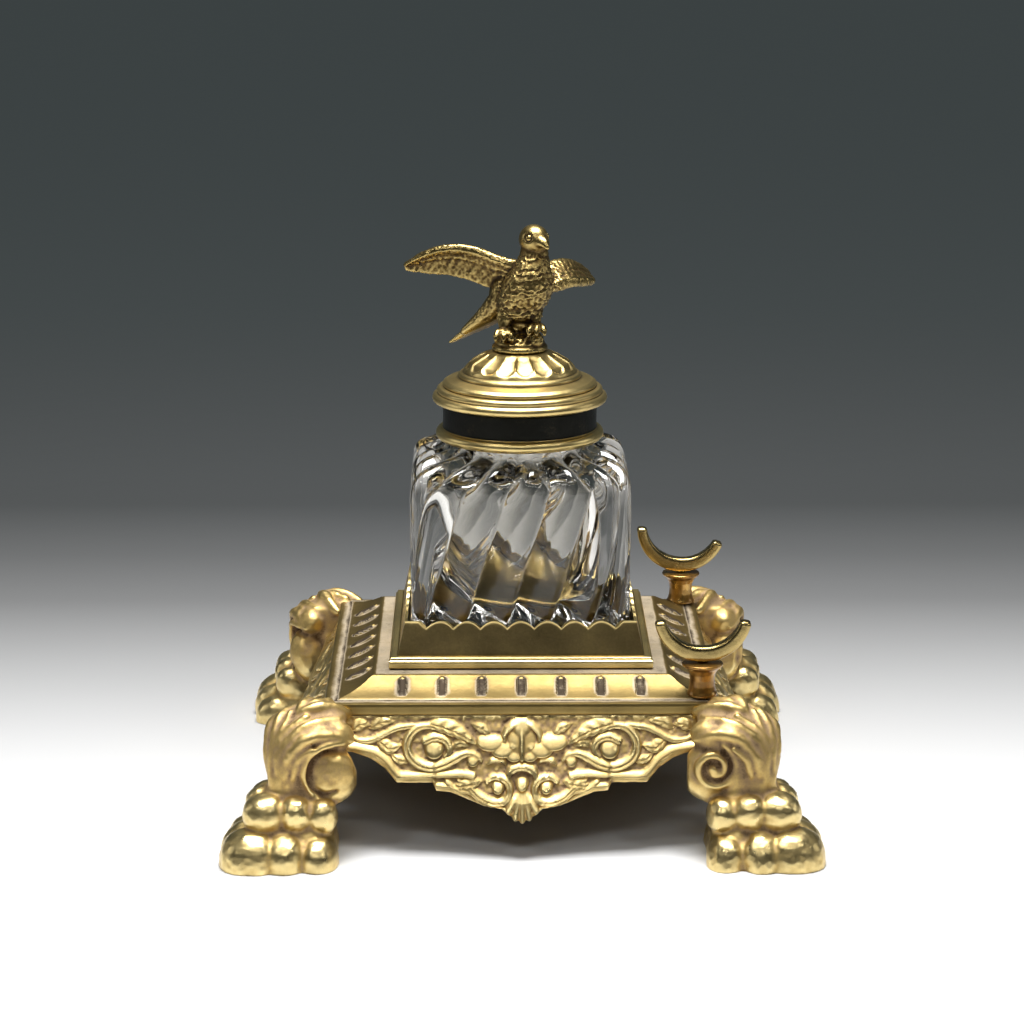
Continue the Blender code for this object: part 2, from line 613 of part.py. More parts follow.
# The bird stands on its disc, facing the front and a little to the right. Each part is a run of
# stations, (centre, half width, half height), with the direction of its widths.
BIRD_PARTS = {
    "body": (
        (0.87, 0.5, 0.0),
        [
            ((-5.0, 8.2, 138.4), 1.2, 0.9),
            ((-3.2, 5.2, 139.2), 5.0, 3.6),
            ((-1.0, 2.2, 140.8), 7.0, 5.4),
            ((1.2, -0.2, 143.4), 8.0, 6.3),
            ((2.8, -1.4, 147.4), 7.4, 6.3),
            ((3.6, -1.0, 151.8), 5.7, 5.2),
            ((3.9, -0.4, 155.6), 4.3, 4.1),
            ((4.0, -0.6, 159.2), 4.0, 4.2),
            ((4.1, -0.8, 162.0), 3.8, 4.0),
            ((4.2, -0.8, 164.2), 1.8, 1.9),
        ],
    ),
    "beak": (
        (0.87, 0.5, 0.0),
        [((4.6, -1.6, 160.6), 2.2, 2.1), ((6.6, -5.2, 159.8), 1.5, 1.4), ((7.6, -7.0, 158.8), 0.4, 0.5)],
    ),
    "wing_right": (
        (0.1, -0.3, 0.95),
        [
            ((1.0, 1.0, 146.6), 4.4, 1.6),
            ((-6.5, 3.0, 149.2), 4.7, 1.3),
            ((-14.0, 4.4, 151.6), 5.1, 1.2),
            ((-20.5, 5.4, 152.6), 4.9, 1.0),
            ((-27.0, 6.6, 151.8), 3.5, 0.8),
            ((-32.6, 7.6, 150.4), 1.2, 0.5),
        ],
    ),
    "wing_left": (
        (0.3, -0.75, 0.6),
        [
            ((3.2, -0.4, 146.6), 4.2, 1.8),
            ((9.4, 3.6, 149.4), 4.2, 1.5),
            ((14.0, 8.2, 150.8), 4.8, 1.2),
            ((18.4, 13.0, 149.0), 4.0, 1.0),
            ((22.0, 17.0, 146.0), 1.4, 0.6),
        ],
    ),
    "tail": (
        (0.87, 0.5, 0.0),
        [
            ((-1.6, 4.0, 141.4), 4.0, 2.6),
            ((-8.0, 8.4, 135.8), 3.2, 1.4),
            ((-14.0, 11.6, 131.0), 2.5, 1.0),
            ((-19.6, 14.4, 127.2), 0.9, 0.5),
        ],
    ),
    "leg_right": (
        (1.0, 0.0, 0.0),
        [((-2.2, -0.4, 139.8), 2.2, 2.2), ((-3.8, -3.0, 135.6), 1.7, 1.7), ((-3.8, -3.4, 131.2), 1.9, 1.9)],
    ),
    "leg_left": (
        (1.0, 0.0, 0.0),
        [((3.4, -1.4, 140.4), 2.2, 2.2), ((4.0, -3.4, 135.8), 1.7, 1.7), ((3.9, -3.6, 131.2), 1.9, 1.9)],
    ),
}


def make_finial(bench, lid):
    """The bird on its two-step disc, with the stud that passes through the lid, and the nut inside."""
    seat = LID_TOP + GAP
    base = [(STUD_R, STUD_END), (STUD_R, seat), (DISC_R - 0.3, seat)]
    base += [(DISC_R, seat + 0.4), (DISC_R, seat + 1.2)]
    base += [(DISC_R - 0.6, seat + 1.6), (DISC_R - 0.6, seat + 2.4), (DISC_R - 1.6, seat + 2.8)]
    base += [(5.2, seat + 4.4), (1.6, seat + 5.2)]
    bird = bench.piece(turned("finial_bird", base, 24), "cast_brass", lid)
    for part, (side, stations) in BIRD_PARTS.items():
        bench.add(bird, tube(f"bird_{part}", stations, side, 14 if part == "body" else 10))
    nut = [(3.4, NUT_FOOT), (3.4, NUT_TOP), (STUD_HOLE_R, NUT_TOP), (STUD_HOLE_R, NUT_FOOT)]
    bench.piece(turned("finial_nut", nut, 6, closed=True), "steel", lid)


# ---------------------------------------------------------------- assembly


def clear_scene():
    for obj in list(bpy.data.objects):
        bpy.data.objects.remove(obj, do_unlink=True)


def main():
    clear_scene()
    bench = Bench()
    stand = bench.frame("stand_frame", (0.0, 0.0, 0.0))
    well = bench.frame("well_frame", (0.0, 0.0, WELL_BASE), stand)
    lid = bench.frame("lid_frame", (0.0, HINGE_Y, HINGE_Z), well)

    make_plinth(bench, stand)
    for corner, (sx, sy) in CORNERS.items():
        make_leg(bench, stand, corner, sx, sy)
        make_leg_screw(bench, stand, corner, sx, sy)
    make_tray(bench, stand)
    make_gallery(bench, stand)
    for place, (y, tilt) in PEN_RESTS.items():
        make_pen_rest(bench, stand, place, y, tilt)
    make_well(bench, well)
    make_collar(bench, well)
    make_hinge(bench, well, lid)
    make_lid(bench, lid)
    make_finial(bench, lid)


main()
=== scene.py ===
"""The looks of the desk inkwell: cast and chased brass, swirl-moulded glass, and soft studio light.

Shapes are worked out in millimetres, in the CAD frame (+Z up, -Y front), and scaled as each mesh is made.
"""

import math

import bpy
import numpy as np
from mathutils import Matrix, Vector


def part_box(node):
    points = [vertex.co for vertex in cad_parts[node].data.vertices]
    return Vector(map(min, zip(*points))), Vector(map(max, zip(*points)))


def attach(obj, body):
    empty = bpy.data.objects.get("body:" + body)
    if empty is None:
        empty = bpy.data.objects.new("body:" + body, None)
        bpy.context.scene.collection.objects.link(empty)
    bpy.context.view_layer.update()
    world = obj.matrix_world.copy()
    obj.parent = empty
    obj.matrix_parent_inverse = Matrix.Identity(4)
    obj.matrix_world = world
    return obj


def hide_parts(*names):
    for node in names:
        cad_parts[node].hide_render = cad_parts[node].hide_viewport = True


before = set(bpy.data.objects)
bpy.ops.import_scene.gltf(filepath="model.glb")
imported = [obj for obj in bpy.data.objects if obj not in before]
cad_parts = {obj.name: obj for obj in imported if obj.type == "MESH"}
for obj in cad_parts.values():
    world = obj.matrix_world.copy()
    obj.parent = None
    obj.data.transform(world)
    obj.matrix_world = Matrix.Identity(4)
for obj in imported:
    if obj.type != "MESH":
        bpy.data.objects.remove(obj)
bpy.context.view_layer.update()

MM = 0.001
QUARTERS = 4

# ---------------------------------------------------------------- sizes, from the frame


def box_mm(node):
    low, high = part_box(node)
    return np.array(low) / MM, np.array(high) / MM


_, PLINTH_HIGH = box_mm("plinth")
TRAY_LOW, TRAY_HIGH = box_mm("tray")
GALLERY_LOW, GALLERY_HIGH = box_mm("gallery")
WELL_LOW, _ = box_mm("glass_well")
COLLAR_LOW, COLLAR_HIGH = box_mm("collar")
LID_LOW, LID_HIGH = box_mm("lid")
_, BIRD_HIGH = box_mm("finial_bird")
_, LEG_HIGH = box_mm("leg_rear_right")
SPOOL_FRONT_LOW, SPOOL_FRONT_HIGH = box_mm("pen_rest_spool_front")
SPOOL_REAR_LOW, SPOOL_REAR_HIGH = box_mm("pen_rest_spool_rear")

PLATEAU_Z = PLINTH_HIGH[2]
PLATEAU_HALF = 41.5
COVE_FOOT = 50.8
LEDGE_HALF = 54.5
LEDGE_TOP = PLATEAU_Z - 4.5
LEDGE_BOTTOM = PLATEAU_Z - 8.0
CENTRE_HALF = 20.0
APRON_HALF = 48.6
APRON_TOP = 36.5
APRON_TOP_OUT = 54.0
APRON_SLOPE = 0.57
APRON_WALL = 2.6
FOOT_OUT = LEG_HIGH[0]

# ---------------------------------------------------------------- meshes from arrays


def grid_quads(rows, columns, wrap=False):
    """Corner numbers of the quads of a grid, closed round from its last column to its first if wrapped."""
    index = np.arange(rows * columns).reshape(rows, columns)
    if wrap:
        index = np.concatenate([index, index[:, :1]], axis=1)
    return np.stack([index[:-1, :-1], index[:-1, 1:], index[1:, 1:], index[1:, :-1]], -1).reshape(-1, 4)


class Surface:
    """Gathers grids of points, in millimetres, into one mesh."""

    def __init__(self):
        self.points = []
        self.quads = []
        self.tris = []
        self.count = 0

    def add(self, points, quads=(), tris=()):
        points = np.asarray(points, float).reshape(-1, 3)
        self.points.append(points)
        self.quads.append(np.asarray(quads, int).reshape(-1, 4) + self.count)
        self.tris.append(np.asarray(tris, int).reshape(-1, 3) + self.count)
        self.count += len(points)

    def grid(self, points, wrap=False, flip=False):
        quads = grid_quads(*points.shape[:2], wrap)
        self.add(points, quads[:, ::-1] if flip else quads)

    def fan(self, ring, centre, flip=False):
        """Closes a ring of points with triangles to a centre."""
        around = np.arange(len(ring))
        tris = np.stack([around, np.roll(around, -1), np.full(len(ring), len(ring))], -1)
        self.add(np.concatenate([ring, [centre]]), tris=tris[:, ::-1] if flip else tris)

    def flat_centre(self, z, cells, flip):
        """A level square patch that fills the middle of a square piece."""
        line = np.linspace(-CENTRE_HALF, CENTRE_HALF, cells + 1)
        x, y = np.meshgrid(line, line)
        self.grid(np.stack([x, y, np.full(x.shape, z)], -1), flip=flip)

    def four_sides(self, points, flip):
        """A grid for the front side, and the same turned to the other three."""
        for quarter in range(QUARTERS):
            turned = turn_z(points.reshape(-1, 3), quarter * math.pi / 2)
            self.grid(turned.reshape(points.shape), flip=flip)

    def mesh(self, name, weld):
        """One smooth mesh in metres. Points that round to the same multiple of `weld` are joined."""
        points = np.concatenate(self.points)
        quads, tris = np.concatenate(self.quads), np.concatenate(self.tris)
        if weld:
            keys = np.round(points / weld).astype(np.int64)
            _, first, back = np.unique(keys, axis=0, return_index=True, return_inverse=True)
            back = back.ravel()
            points, quads, tris = points[first], back[quads], back[tris]
        faces = [list(dict.fromkeys(face)) for face in [*quads.tolist(), *tris.tolist()]]
        mesh = bpy.data.meshes.new(name)
        mesh.from_pydata((points * MM).tolist(), [], [face for face in faces if len(face) > 2])
        mesh.validate()
        mesh.shade_smooth()
        return mesh


def add_object(name, data):
    obj = bpy.data.objects.new(name, data)
    bpy.context.scene.collection.objects.link(obj)
    return obj


def piece(mesh, material, body, nodes, edge_angle=40):
    """Puts a mesh in the scene as a piece that rides a body and stands for CAD nodes."""
    mesh.set_sharp_from_angle(angle=math.radians(edge_angle))
    obj = add_object(mesh.name, mesh)
    mesh.materials.append(material)
    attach(obj, body)
    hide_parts(*nodes)
    return obj


def four_around(mesh, names, nodes, edge_angle):
    """The same casting on each side or corner of the stand, a quarter turn apart."""
    for quarter, (name, node) in enumerate(zip(names, nodes)):
        obj = piece(mesh if quarter == 0 else mesh.copy(), CAST, "stand", [node], edge_angle)
        obj.name = name
        obj.data.transform(Matrix.Rotation(quarter * math.pi / 2, 4, "Z"))


def smoothstep(low, high, x):
    t = np.clip((np.asarray(x, float) - low) / (high - low), 0.0, 1.0)
    return t * t * (3 - 2 * t)


def turn_z(points, angle):
    c, s = math.cos(angle), math.sin(angle)
    return points @ np.array([[c, s, 0.0], [-s, c, 0.0], [0.0, 0.0, 1.0]])


def curve(points, spacing=0.35):
    """A smooth line through given points (Catmull-Rom), sampled about `spacing` apart."""
    p = np.asarray(points, float)
    if len(p) == 2:
        p = np.stack([p[0], (p[0] + p[1]) / 2, p[1]])
    p = np.concatenate([[2 * p[0] - p[1]], p, [2 * p[-1] - p[-2]]])
    out = []
    for a, b, c, d in zip(p, p[1:], p[2:], p[3:]):
        count = max(2, int(np.linalg.norm(c - b) / spacing) + 1)
        t = np.linspace(0, 1, count, endpoint=False)[:, None]
        square, cube = 2 * a - 5 * b + 4 * c - d, 3 * b - a - 3 * c + d
        out.append(0.5 * (2 * b + (c - a) * t + square * t**2 + cube * t**3))
    return np.concatenate([*out, p[-2:-1]])


def profile_line(points, spacing=0.3):
    """Straight runs between points, sampled about `spacing` apart, keeping the corners."""
    p = np.asarray(points, float)
    out = [p[:1]]
    for a, b in zip(p, p[1:]):
        count = max(1, int(np.linalg.norm(b - a) / spacing))
        out.append(a + (b - a) * (np.arange(1, count + 1) / count)[:, None])
    return np.concatenate(out)


def profile_out(profile):
    """Unit directions, square to each point of a profile, that point out of the body."""
    slope = np.gradient(profile, axis=0)
    out = np.stack([slope[:, 1], -slope[:, 0]], -1)
    return out / np.maximum(np.linalg.norm(out, axis=1), 1e-9)[:, None]


def neighbours_mean(points, edges):
    """The mean of each point's neighbours."""
    count = len(points)
    degree = np.bincount(edges.ravel(), minlength=count)[:, None]
    start, end = edges.T
    total = [np.bincount(start, axis[end], count) + np.bincount(end, axis[start], count) for axis in points.T]
    return np.stack(total, -1) / np.maximum(degree, 1)


def mesh_arrays(mesh):
    points = np.empty(len(mesh.vertices) * 3)
    mesh.vertices.foreach_get("co", points)
    edges = np.empty(len(mesh.edges) * 2, int)
    mesh.edges.foreach_get("vertices", edges)
    normals = np.empty(len(mesh.vertices) * 3)
    mesh.vertices.foreach_get("normal", normals)
    return points.reshape(-1, 3) / MM, edges.reshape(-1, 2), normals.reshape(-1, 3)


def lattice(cell, seed):
    """A repeatable random number, 0 to 1, for each integer cell."""
    n = cell[..., 0] * 374761393 + cell[..., 1] * 668265263 + cell[..., 2] * 2147483647 + seed * 1274126177
    n = (n ^ (n >> 13)) * 1274126177
    return ((n ^ (n >> 16)) & 0xFFFF) / 65535.0


def lumps(points, size, seed):
    """Smooth random lumps, -1 to 1, about `size` millimetres across."""
    p = np.asarray(points, float) / size
    base = np.floor(p).astype(np.int64)
    t = p - base
    t = t * t * (3 - 2 * t)
    total = 0.0
    for i in (0, 1):
        for j in (0, 1):
            for k in (0, 1):
                share = np.abs(1 - i - t[..., 0]) * np.abs(1 - j - t[..., 1]) * np.abs(1 - k - t[..., 2])
                total = total + share * lattice(base + np.array([i, j, k]), seed)
    return 2 * total - 1


def cavities(mesh):
    value = np.empty(len(mesh.vertices), np.float32)
    mesh.attributes["cavity"].data.foreach_get("value", value)
    return value


def set_cavities(mesh, value):
    store = mesh.attributes.get("cavity") or mesh.attributes.new("cavity", "FLOAT", "POINT")
    store.data.foreach_set("value", np.clip(value, 0, 1).astype(np.float32))


def find_cavities(mesh, reach, depth):
    """Stores how hollow each vertex lies: near 0 in a recess, 0.5 on plain surface, near 1 on a ridge."""
    points, edges, normals = mesh_arrays(mesh)
    soft = points
    for _ in range(reach):
        soft = neighbours_mean(soft, edges)
    rise = ((points - soft) * normals).sum(1) / depth
    set_cavities(mesh, 0.5 + 0.5 * np.tanh(rise))


def fuse(name, parts, voxel, relax, shape):
    """Joins overlapping closed bodies into one skin by voxels, relaxes it, and lets `shape` move it."""
    surface = Surface()
    for part in parts:
        surface.add(*part)
    source = add_object(f"{name}_source", surface.mesh(f"{name}_source", weld=0))
    step = source.modifiers.new("voxels", "REMESH")
    step.mode = "VOXEL"
    step.voxel_size = voxel * MM
    depsgraph = bpy.context.evaluated_depsgraph_get()
    mesh = bpy.data.meshes.new_from_object(source.evaluated_get(depsgraph))
    bpy.data.objects.remove(source, do_unlink=True)
    mesh.name = name
    points, edges, _ = mesh_arrays(mesh)
    for _ in range(relax):
        points = points + 0.5 * (neighbours_mean(points, edges) - points)
    set_points(mesh, points)
    points, _, normals = mesh_arrays(mesh)
    set_points(mesh, shape(points, normals))
    mesh.shade_smooth()
    return mesh


def set_points(mesh, points):
    mesh.vertices.foreach_set("co", (np.asarray(points) * MM).ravel())
    mesh.update()


def capped(rows, tips=None, flip=False):
    """A closed body from rings of points. Each end closes to its tip, or to the middle of its ring."""
    count, sides = rows.shape[:2]
    ends = [rows[0].mean(0), rows[-1].mean(0)] if tips is None else tips
    points = np.concatenate([rows.reshape(-1, 3), ends])
    quads = grid_quads(count, sides, wrap=True)
    around = np.arange(sides)
    after = np.roll(around, -1)
    last_ring = (count - 1) * sides
    first = np.stack([np.full(sides, count * sides), after, around], -1)
    last = np.stack([np.full(sides, count * sides + 1), last_ring + around, last_ring + after], -1)
    tris = np.concatenate([first, last])
    if flip:
        quads, tris = quads[:, [0, 3, 2, 1]], tris[:, [0, 2, 1]]
    return points, quads, tris


def ball(centre, radii, axes=None, rings=14, sides=24, square=1.0):
    """A closed ellipsoid, boxier where `square` is under 1. `axes` are its three directions, one row each."""
    lat = np.linspace(0, math.pi, rings + 1)[1:-1, None]
    lon = np.arange(sides) * 2 * math.pi / sides
    rows = np.stack([np.sin(lat) * np.cos(lon), np.sin(lat) * np.sin(lon), np.cos(lat) * np.ones(sides)], -1)
    points, quads, tris = capped(rows, [[0, 0, 1.0], [0, 0, -1.0]], flip=True)
    points = np.sign(points) * np.abs(points) ** square * np.asarray(radii, float)
    if axes is not None:
        basis = np.asarray(axes, float)
        points = points @ (basis / np.linalg.norm(basis, axis=1)[:, None])
    return points + np.asarray(centre, float), quads, tris


def sausage(stations, side, sides=16, spacing=0.8):
    """A closed body along stations (x, y, z, half width, half height), with elliptical sections.

    Widths lie along `side`, squared up to the path. The ends are rounded off.
    """
    line = curve(np.asarray(stations, float), spacing)
    centres, width, height = line[:, :3], np.maximum(line[:, 3], 0.05), np.maximum(line[:, 4], 0.05)
    ahead = np.gradient(centres, axis=0)
    ahead /= np.linalg.norm(ahead, axis=1)[:, None]
    up = np.cross(np.broadcast_to(np.asarray(side, float), ahead.shape), ahead)
    up /= np.linalg.norm(up, axis=1)[:, None]
    across = np.cross(ahead, up)
    angle = np.arange(sides) * 2 * math.pi / sides
    rows = (
        centres[:, None]
        + across[:, None] * (width[:, None] * np.cos(angle))[..., None]
        + up[:, None] * (height[:, None] * np.sin(angle))[..., None]
    )

    def beyond(k, way, share):
        """A ring of the round cap past station k, `share` as wide as the station."""
        past = way * ahead[k] * min(width[k], height[k]) * math.sqrt(1 - share * share)
        return centres[k] + past + (rows[k] - centres[k]) * share

    start = [beyond(0, -1, share) for share in (0.5, 0.85)]
    end = [beyond(-1, 1, share) for share in (0.85, 0.5)]
    tips = [beyond(0, -1, 0.0)[0], beyond(-1, 1, 0.0)[0]]
    return capped(np.array([*start, *rows, *end]), tips)


# ---------------------------------------------------------------- materials


class Nodes:
    """A short hand for building one material's node tree."""

    def __init__(self, name):
        self.material = bpy.data.materials.new(name)
        self.material.use_nodes = True
        self.tree = self.material.node_tree
        self.shader = self.tree.nodes["Principled BSDF"]
        self.place = self.tree.nodes.new("ShaderNodeTexCoord").outputs["Object"]

    def link(self, source, target):
        self.tree.links.new(source, target)

    def set(self, name, value):
        """Feeds an input of the shader from a socket, or gives it a fixed value."""
        if isinstance(value, bpy.types.NodeSocket):
            self.link(value, self.shader.inputs[name])
        else:
            self.shader.inputs[name].default_value = value

    def noise(self, scale, detail=4.0, roughness=0.55, stretch=None):
        node = self.tree.nodes.new("ShaderNodeTexNoise")
        node.inputs["Scale"].default_value = scale
        node.inputs["Detail"].default_value = detail
        node.inputs["Roughness"].default_value = roughness
        place = self.place
        if stretch:
            mapping = self.tree.nodes.new("ShaderNodeMapping")
            mapping.inputs["Scale"].default_value = stretch
            self.link(self.place, mapping.inputs["Vector"])
            place = mapping.outputs["Vector"]
        self.link(place, node.inputs["Vector"])
        return node.outputs["Fac"]

    def speckle(self, scale, detail, roughness, reach):
        """Noise round zero, `reach` from its lowest to its highest."""
        return self.math("MULTIPLY", self.math("SUBTRACT", self.noise(scale, detail, roughness), 0.5), reach)

    def attribute(self, name):
        node = self.tree.nodes.new("ShaderNodeAttribute")
        node.attribute_name = name
        return node.outputs["Fac"]

    def math(self, operation, a, b=0.0, clamp=False):
        node = self.tree.nodes.new("ShaderNodeMath")
        node.operation = operation
        node.use_clamp = clamp
        for socket, value in zip(node.inputs, (a, b)):
            if isinstance(value, (int, float)):
                socket.default_value = value
            else:
                self.link(value, socket)
        return node.outputs[0]

    def ramp(self, source, stops):
        """A colour (or a grey value) from a 0 to 1 source."""
        node = self.tree.nodes.new("ShaderNodeValToRGB")
        ramp = node.color_ramp
        while len(ramp.elements) < len(stops):
            ramp.elements.new(0.5)
        for element, (position, colour) in zip(ramp.elements, stops):
            element.position = position
            if isinstance(colour, (int, float)):
                colour = (colour,) * 3
            element.color = (*colour, 1.0)
        self.link(source, node.inputs["Fac"])
        return node.outputs["Color"]

    def mix(self, factor, a, b, blend="MIX"):
        node = self.tree.nodes.new("ShaderNodeMix")
        node.data_type = "RGBA"
        node.blend_type = blend
        sockets = {socket.identifier: socket for socket in node.inputs}
        for key, value in (("Factor_Float", factor), ("A_Color", a), ("B_Color", b)):
            if isinstance(value, (int, float)):
                sockets[key].default_value = value
            elif isinstance(value, tuple):
                sockets[key].default_value = (*value, 1.0)
            else:
                self.link(value, sockets[key])
        return next(s for s in node.outputs if s.identifier == "Result_Color")

    def bump(self, height, distance, strength, below=None):
        node = self.tree.nodes.new("ShaderNodeBump")
        node.inputs["Strength"].default_value = strength
        node.inputs["Distance"].default_value = distance
        self.link(height, node.inputs["Height"])
        if below is not None:
            self.link(below, node.inputs["Normal"])
        return node.outputs["Normal"]


COLOUR_STOPS = (0.02, 0.18, 0.40, 0.80)
ROUGH_STOPS = (0.20, 0.44, 0.82)


def brass(name, colours, rough, tarnish=0.35, blotches=0.35):
    """Aged brass, by how hollow the surface lies.

    Deep creases are dark, recesses hold dull patina, plain metal is satin, and ridges are rubbed bright.
    colours holds the four, rough the roughness of the last three, and tarnish how far blotches darken it all.
    """
    n = Nodes(name)
    blotch = n.speckle(140.0, 5.0, 0.6, blotches)
    grain = n.speckle(1500.0, 3.0, 0.6, blotches * 0.55)
    worn = n.math("ADD", n.math("ADD", n.attribute("cavity"), blotch), grain, clamp=True)
    shade = n.ramp(n.noise(55.0, 4.0, 0.6), [(0.35, 1.0 - tarnish), (0.62, 1.0)])
    colour = n.mix(0.85, n.ramp(worn, list(zip(COLOUR_STOPS, colours))), shade, "MULTIPLY")
    n.set("Base Color", colour)
    base = n.ramp(worn, list(zip(ROUGH_STOPS, rough)))
    speck = n.speckle(420.0, 4.0, 0.7, blotches * 0.5)
    n.set("Roughness", n.math("ADD", base, speck, clamp=True))
    n.set("Metallic", n.ramp(worn, [(0.14, 0.70), (0.36, 1.0)]))
    uneven = n.bump(n.noise(260.0, 3.0, 0.5), 0.0004, 0.22)
    n.set("Normal", n.bump(n.noise(1100.0, 5.0, 0.65), 0.0001, 0.5, uneven))
    return n.material


CAST = brass(
    "cast_brass_chased",
    colours=[(0.13, 0.070, 0.030), (0.50, 0.350, 0.190), (0.70, 0.500, 0.185), (1.00, 0.79, 0.36)],
    rough=(0.74, 0.44, 0.30),
    blotches=0.42,
)
COVE = brass(
    "cast_brass_cove",
    colours=[(0.085, 0.060, 0.036), (0.60, 0.500, 0.355), (0.26, 0.185, 0.068), (0.32, 0.230, 0.080)],
    rough=(0.70, 0.48, 0.38),
)
SPUN = brass(
    "spun_brass_polished",
    colours=[(0.010, 0.010, 0.006), (0.14, 0.105, 0.050), (0.63, 0.465, 0.185), (0.98, 0.76, 0.32)],
    rough=(0.30, 0.37, 0.32),
    tarnish=0.30,
    blotches=0.20,
)
REST_BRASS = brass(
    "spun_brass_pen_rest",
    colours=[(0.040, 0.028, 0.012), (0.075, 0.054, 0.020), (0.115, 0.084, 0.030), (0.50, 0.375, 0.15)],
    rough=(0.42, 0.32, 0.24),
)
BIRD_BRASS = brass(
    "cast_brass_bird",
    colours=[(0.030, 0.017, 0.009), (0.085, 0.052, 0.024), (0.19, 0.125, 0.045), (0.62, 0.46, 0.17)],
    rough=(0.58, 0.40, 0.27),
)


def glass_material():
    n = Nodes("clear_glass_old")
    n.set("Base Color", (0.870, 0.855, 0.810, 1.0))
    n.set("Transmission Weight", 1.0)
    n.set("IOR", 1.5)
    smear = n.noise(160.0, 4.0, 0.6)
    n.set("Roughness", n.ramp(smear, [(0.45, 0.012), (0.75, 0.075)]))
    ripple = n.noise(120.0, 2.0, 0.4)
    n.set("Normal", n.bump(ripple, 0.0004, 0.25))
    return n.material


def lacquer_material():
    n = Nodes("amber_lacquer_on_brass")
    tone = n.noise(190.0, 5.0, 0.6, (1.0, 1.0, 0.5))
    amber = [(0.32, (0.12, 0.050, 0.012)), (0.50, (0.42, 0.220, 0.045)), (0.70, (0.80, 0.50, 0.14))]
    n.set("Base Color", n.ramp(tone, amber))
    n.set("Metallic", 0.9)
    n.set("Roughness", n.ramp(tone, [(0.3, 0.42), (0.7, 0.22)]))
    n.set("Coat Weight", 0.5)
    n.set("Coat Roughness", 0.12)
    n.set("Normal", n.bump(n.noise(800.0, 4.0, 0.6), 0.00008, 0.4))
    return n.material


def steel_material():
    n = Nodes("steel_screws")
    rust = n.noise(700.0, 5.0, 0.65)
    colour = n.ramp(rust, [(0.40, (0.16, 0.10, 0.07)), (0.62, (0.45, 0.44, 0.42))])
    n.set("Base Color", colour)
    n.set("Roughness", n.ramp(rust, [(0.40, 0.75), (0.62, 0.38)]))
    n.set("Metallic", n.ramp(rust, [(0.36, 0.4), (0.60, 1.0)]))
    n.set("Normal", n.bump(rust, 0.0001, 0.5))
    return n.material


def plaster_material():
    n = Nodes("plaster_cement")
    tone = n.noise(500.0, 6.0, 0.6)
    colour = n.ramp(tone, [(0.35, (0.42, 0.37, 0.29)), (0.65, (0.68, 0.63, 0.54))])
    n.set("Base Color", colour)
    n.set("Roughness", n.ramp(tone, [(0.35, 0.95), (0.65, 0.82)]))
    n.set("Normal", n.bump(tone, 0.0002, 0.6))
    return n.material


GLASS = glass_material()
LACQUER = lacquer_material()
STEEL = steel_material()
PLASTER = plaster_material()

# ---------------------------------------------------------------- relief


def nearest_on(line, x, y):
    """Distance from every point (x, y) to a dense line, and how far along it, 0 to 1, that is."""
    best = np.full(x.shape, 1e9)
    along = np.zeros(x.shape)
    last = max(1, len(line) - 1)
    for k, (px, py) in enumerate(line):
        d = (x - px) ** 2 + (y - py) ** 2
        closer = d < best
        best = np.where(closer, d, best)
        along = np.where(closer, k / last, along)
    return np.sqrt(best), along


def stroke(height, x, y, points, width, rise, taper, groove=0.0):
    """Raises a rounded ribbon along a line: full width in the middle, thinning to `taper` at its two ends."""
    line = curve(points, 0.25)
    pad = width * 1.5
    low, high = line.min(0) - pad, line.max(0) + pad
    near = (x > low[0]) & (x < high[0]) & (y > low[1]) & (y < high[1])
    if not near.any():
        return height
    d, t = nearest_on(line, x[near], y[near])
    swell = taper[0] + (1 - taper[0]) * smoothstep(0, 0.3, t)
    swell = np.minimum(swell, taper[1] + (1 - taper[1]) * smoothstep(0, 0.3, 1 - t))
    across = np.clip(d / (0.5 * width * swell), 0, 1)
    lift = rise * (0.35 + 0.65 * swell) * np.sqrt(np.clip(1 - across**2, 0, 1))
    if groove:
        lift = lift - groove * rise * np.exp(-((d / (0.13 * width)) ** 2)) * swell
    out = height.copy()
    out[near] = np.maximum(height[near], lift)
    return out


def dome(height, x, y, centre, radii, rise, dimple=0.0):
    """Raises a rounded oval, with a dimple in the middle where one is asked for."""
    d = np.sqrt(((x - centre[0]) / radii[0]) ** 2 + ((y - centre[1]) / radii[1]) ** 2)
    lift = rise * np.sqrt(np.clip(1 - d**2, 0, 1))
    if dimple:
        lift = lift - dimple * np.exp(-((d / 0.4) ** 2))
    return np.maximum(height, lift)


def leaf(height, x, y, points, width, rise, veins):
    """A pointed leaf along a line, crowned, with a midrib and slanting veins cut in."""
    line = curve(points, 0.25)
    d, t = nearest_on(line, x, y)
    half = 0.5 * width * np.clip(np.sin(math.pi * np.clip(t, 0.02, 1) ** 0.7), 0.02, 1)
    across = np.clip(d / half, 0, 1.0)
    lift = rise * np.sqrt(np.clip(1 - across**2, 0, 1)) * (0.5 + 0.5 * np.sin(math.pi * np.clip(t, 0, 1)))
    lift = lift * (1 - 0.45 * np.exp(-((d / 0.28) ** 2)))
    vein = 0.5 + 0.5 * np.cos(2 * math.pi * (t * veins - across * 0.8))
    lift = lift * (1 - 0.28 * vein * (across > 0.12))
    return np.maximum(height, np.where(d < half, lift, 0))


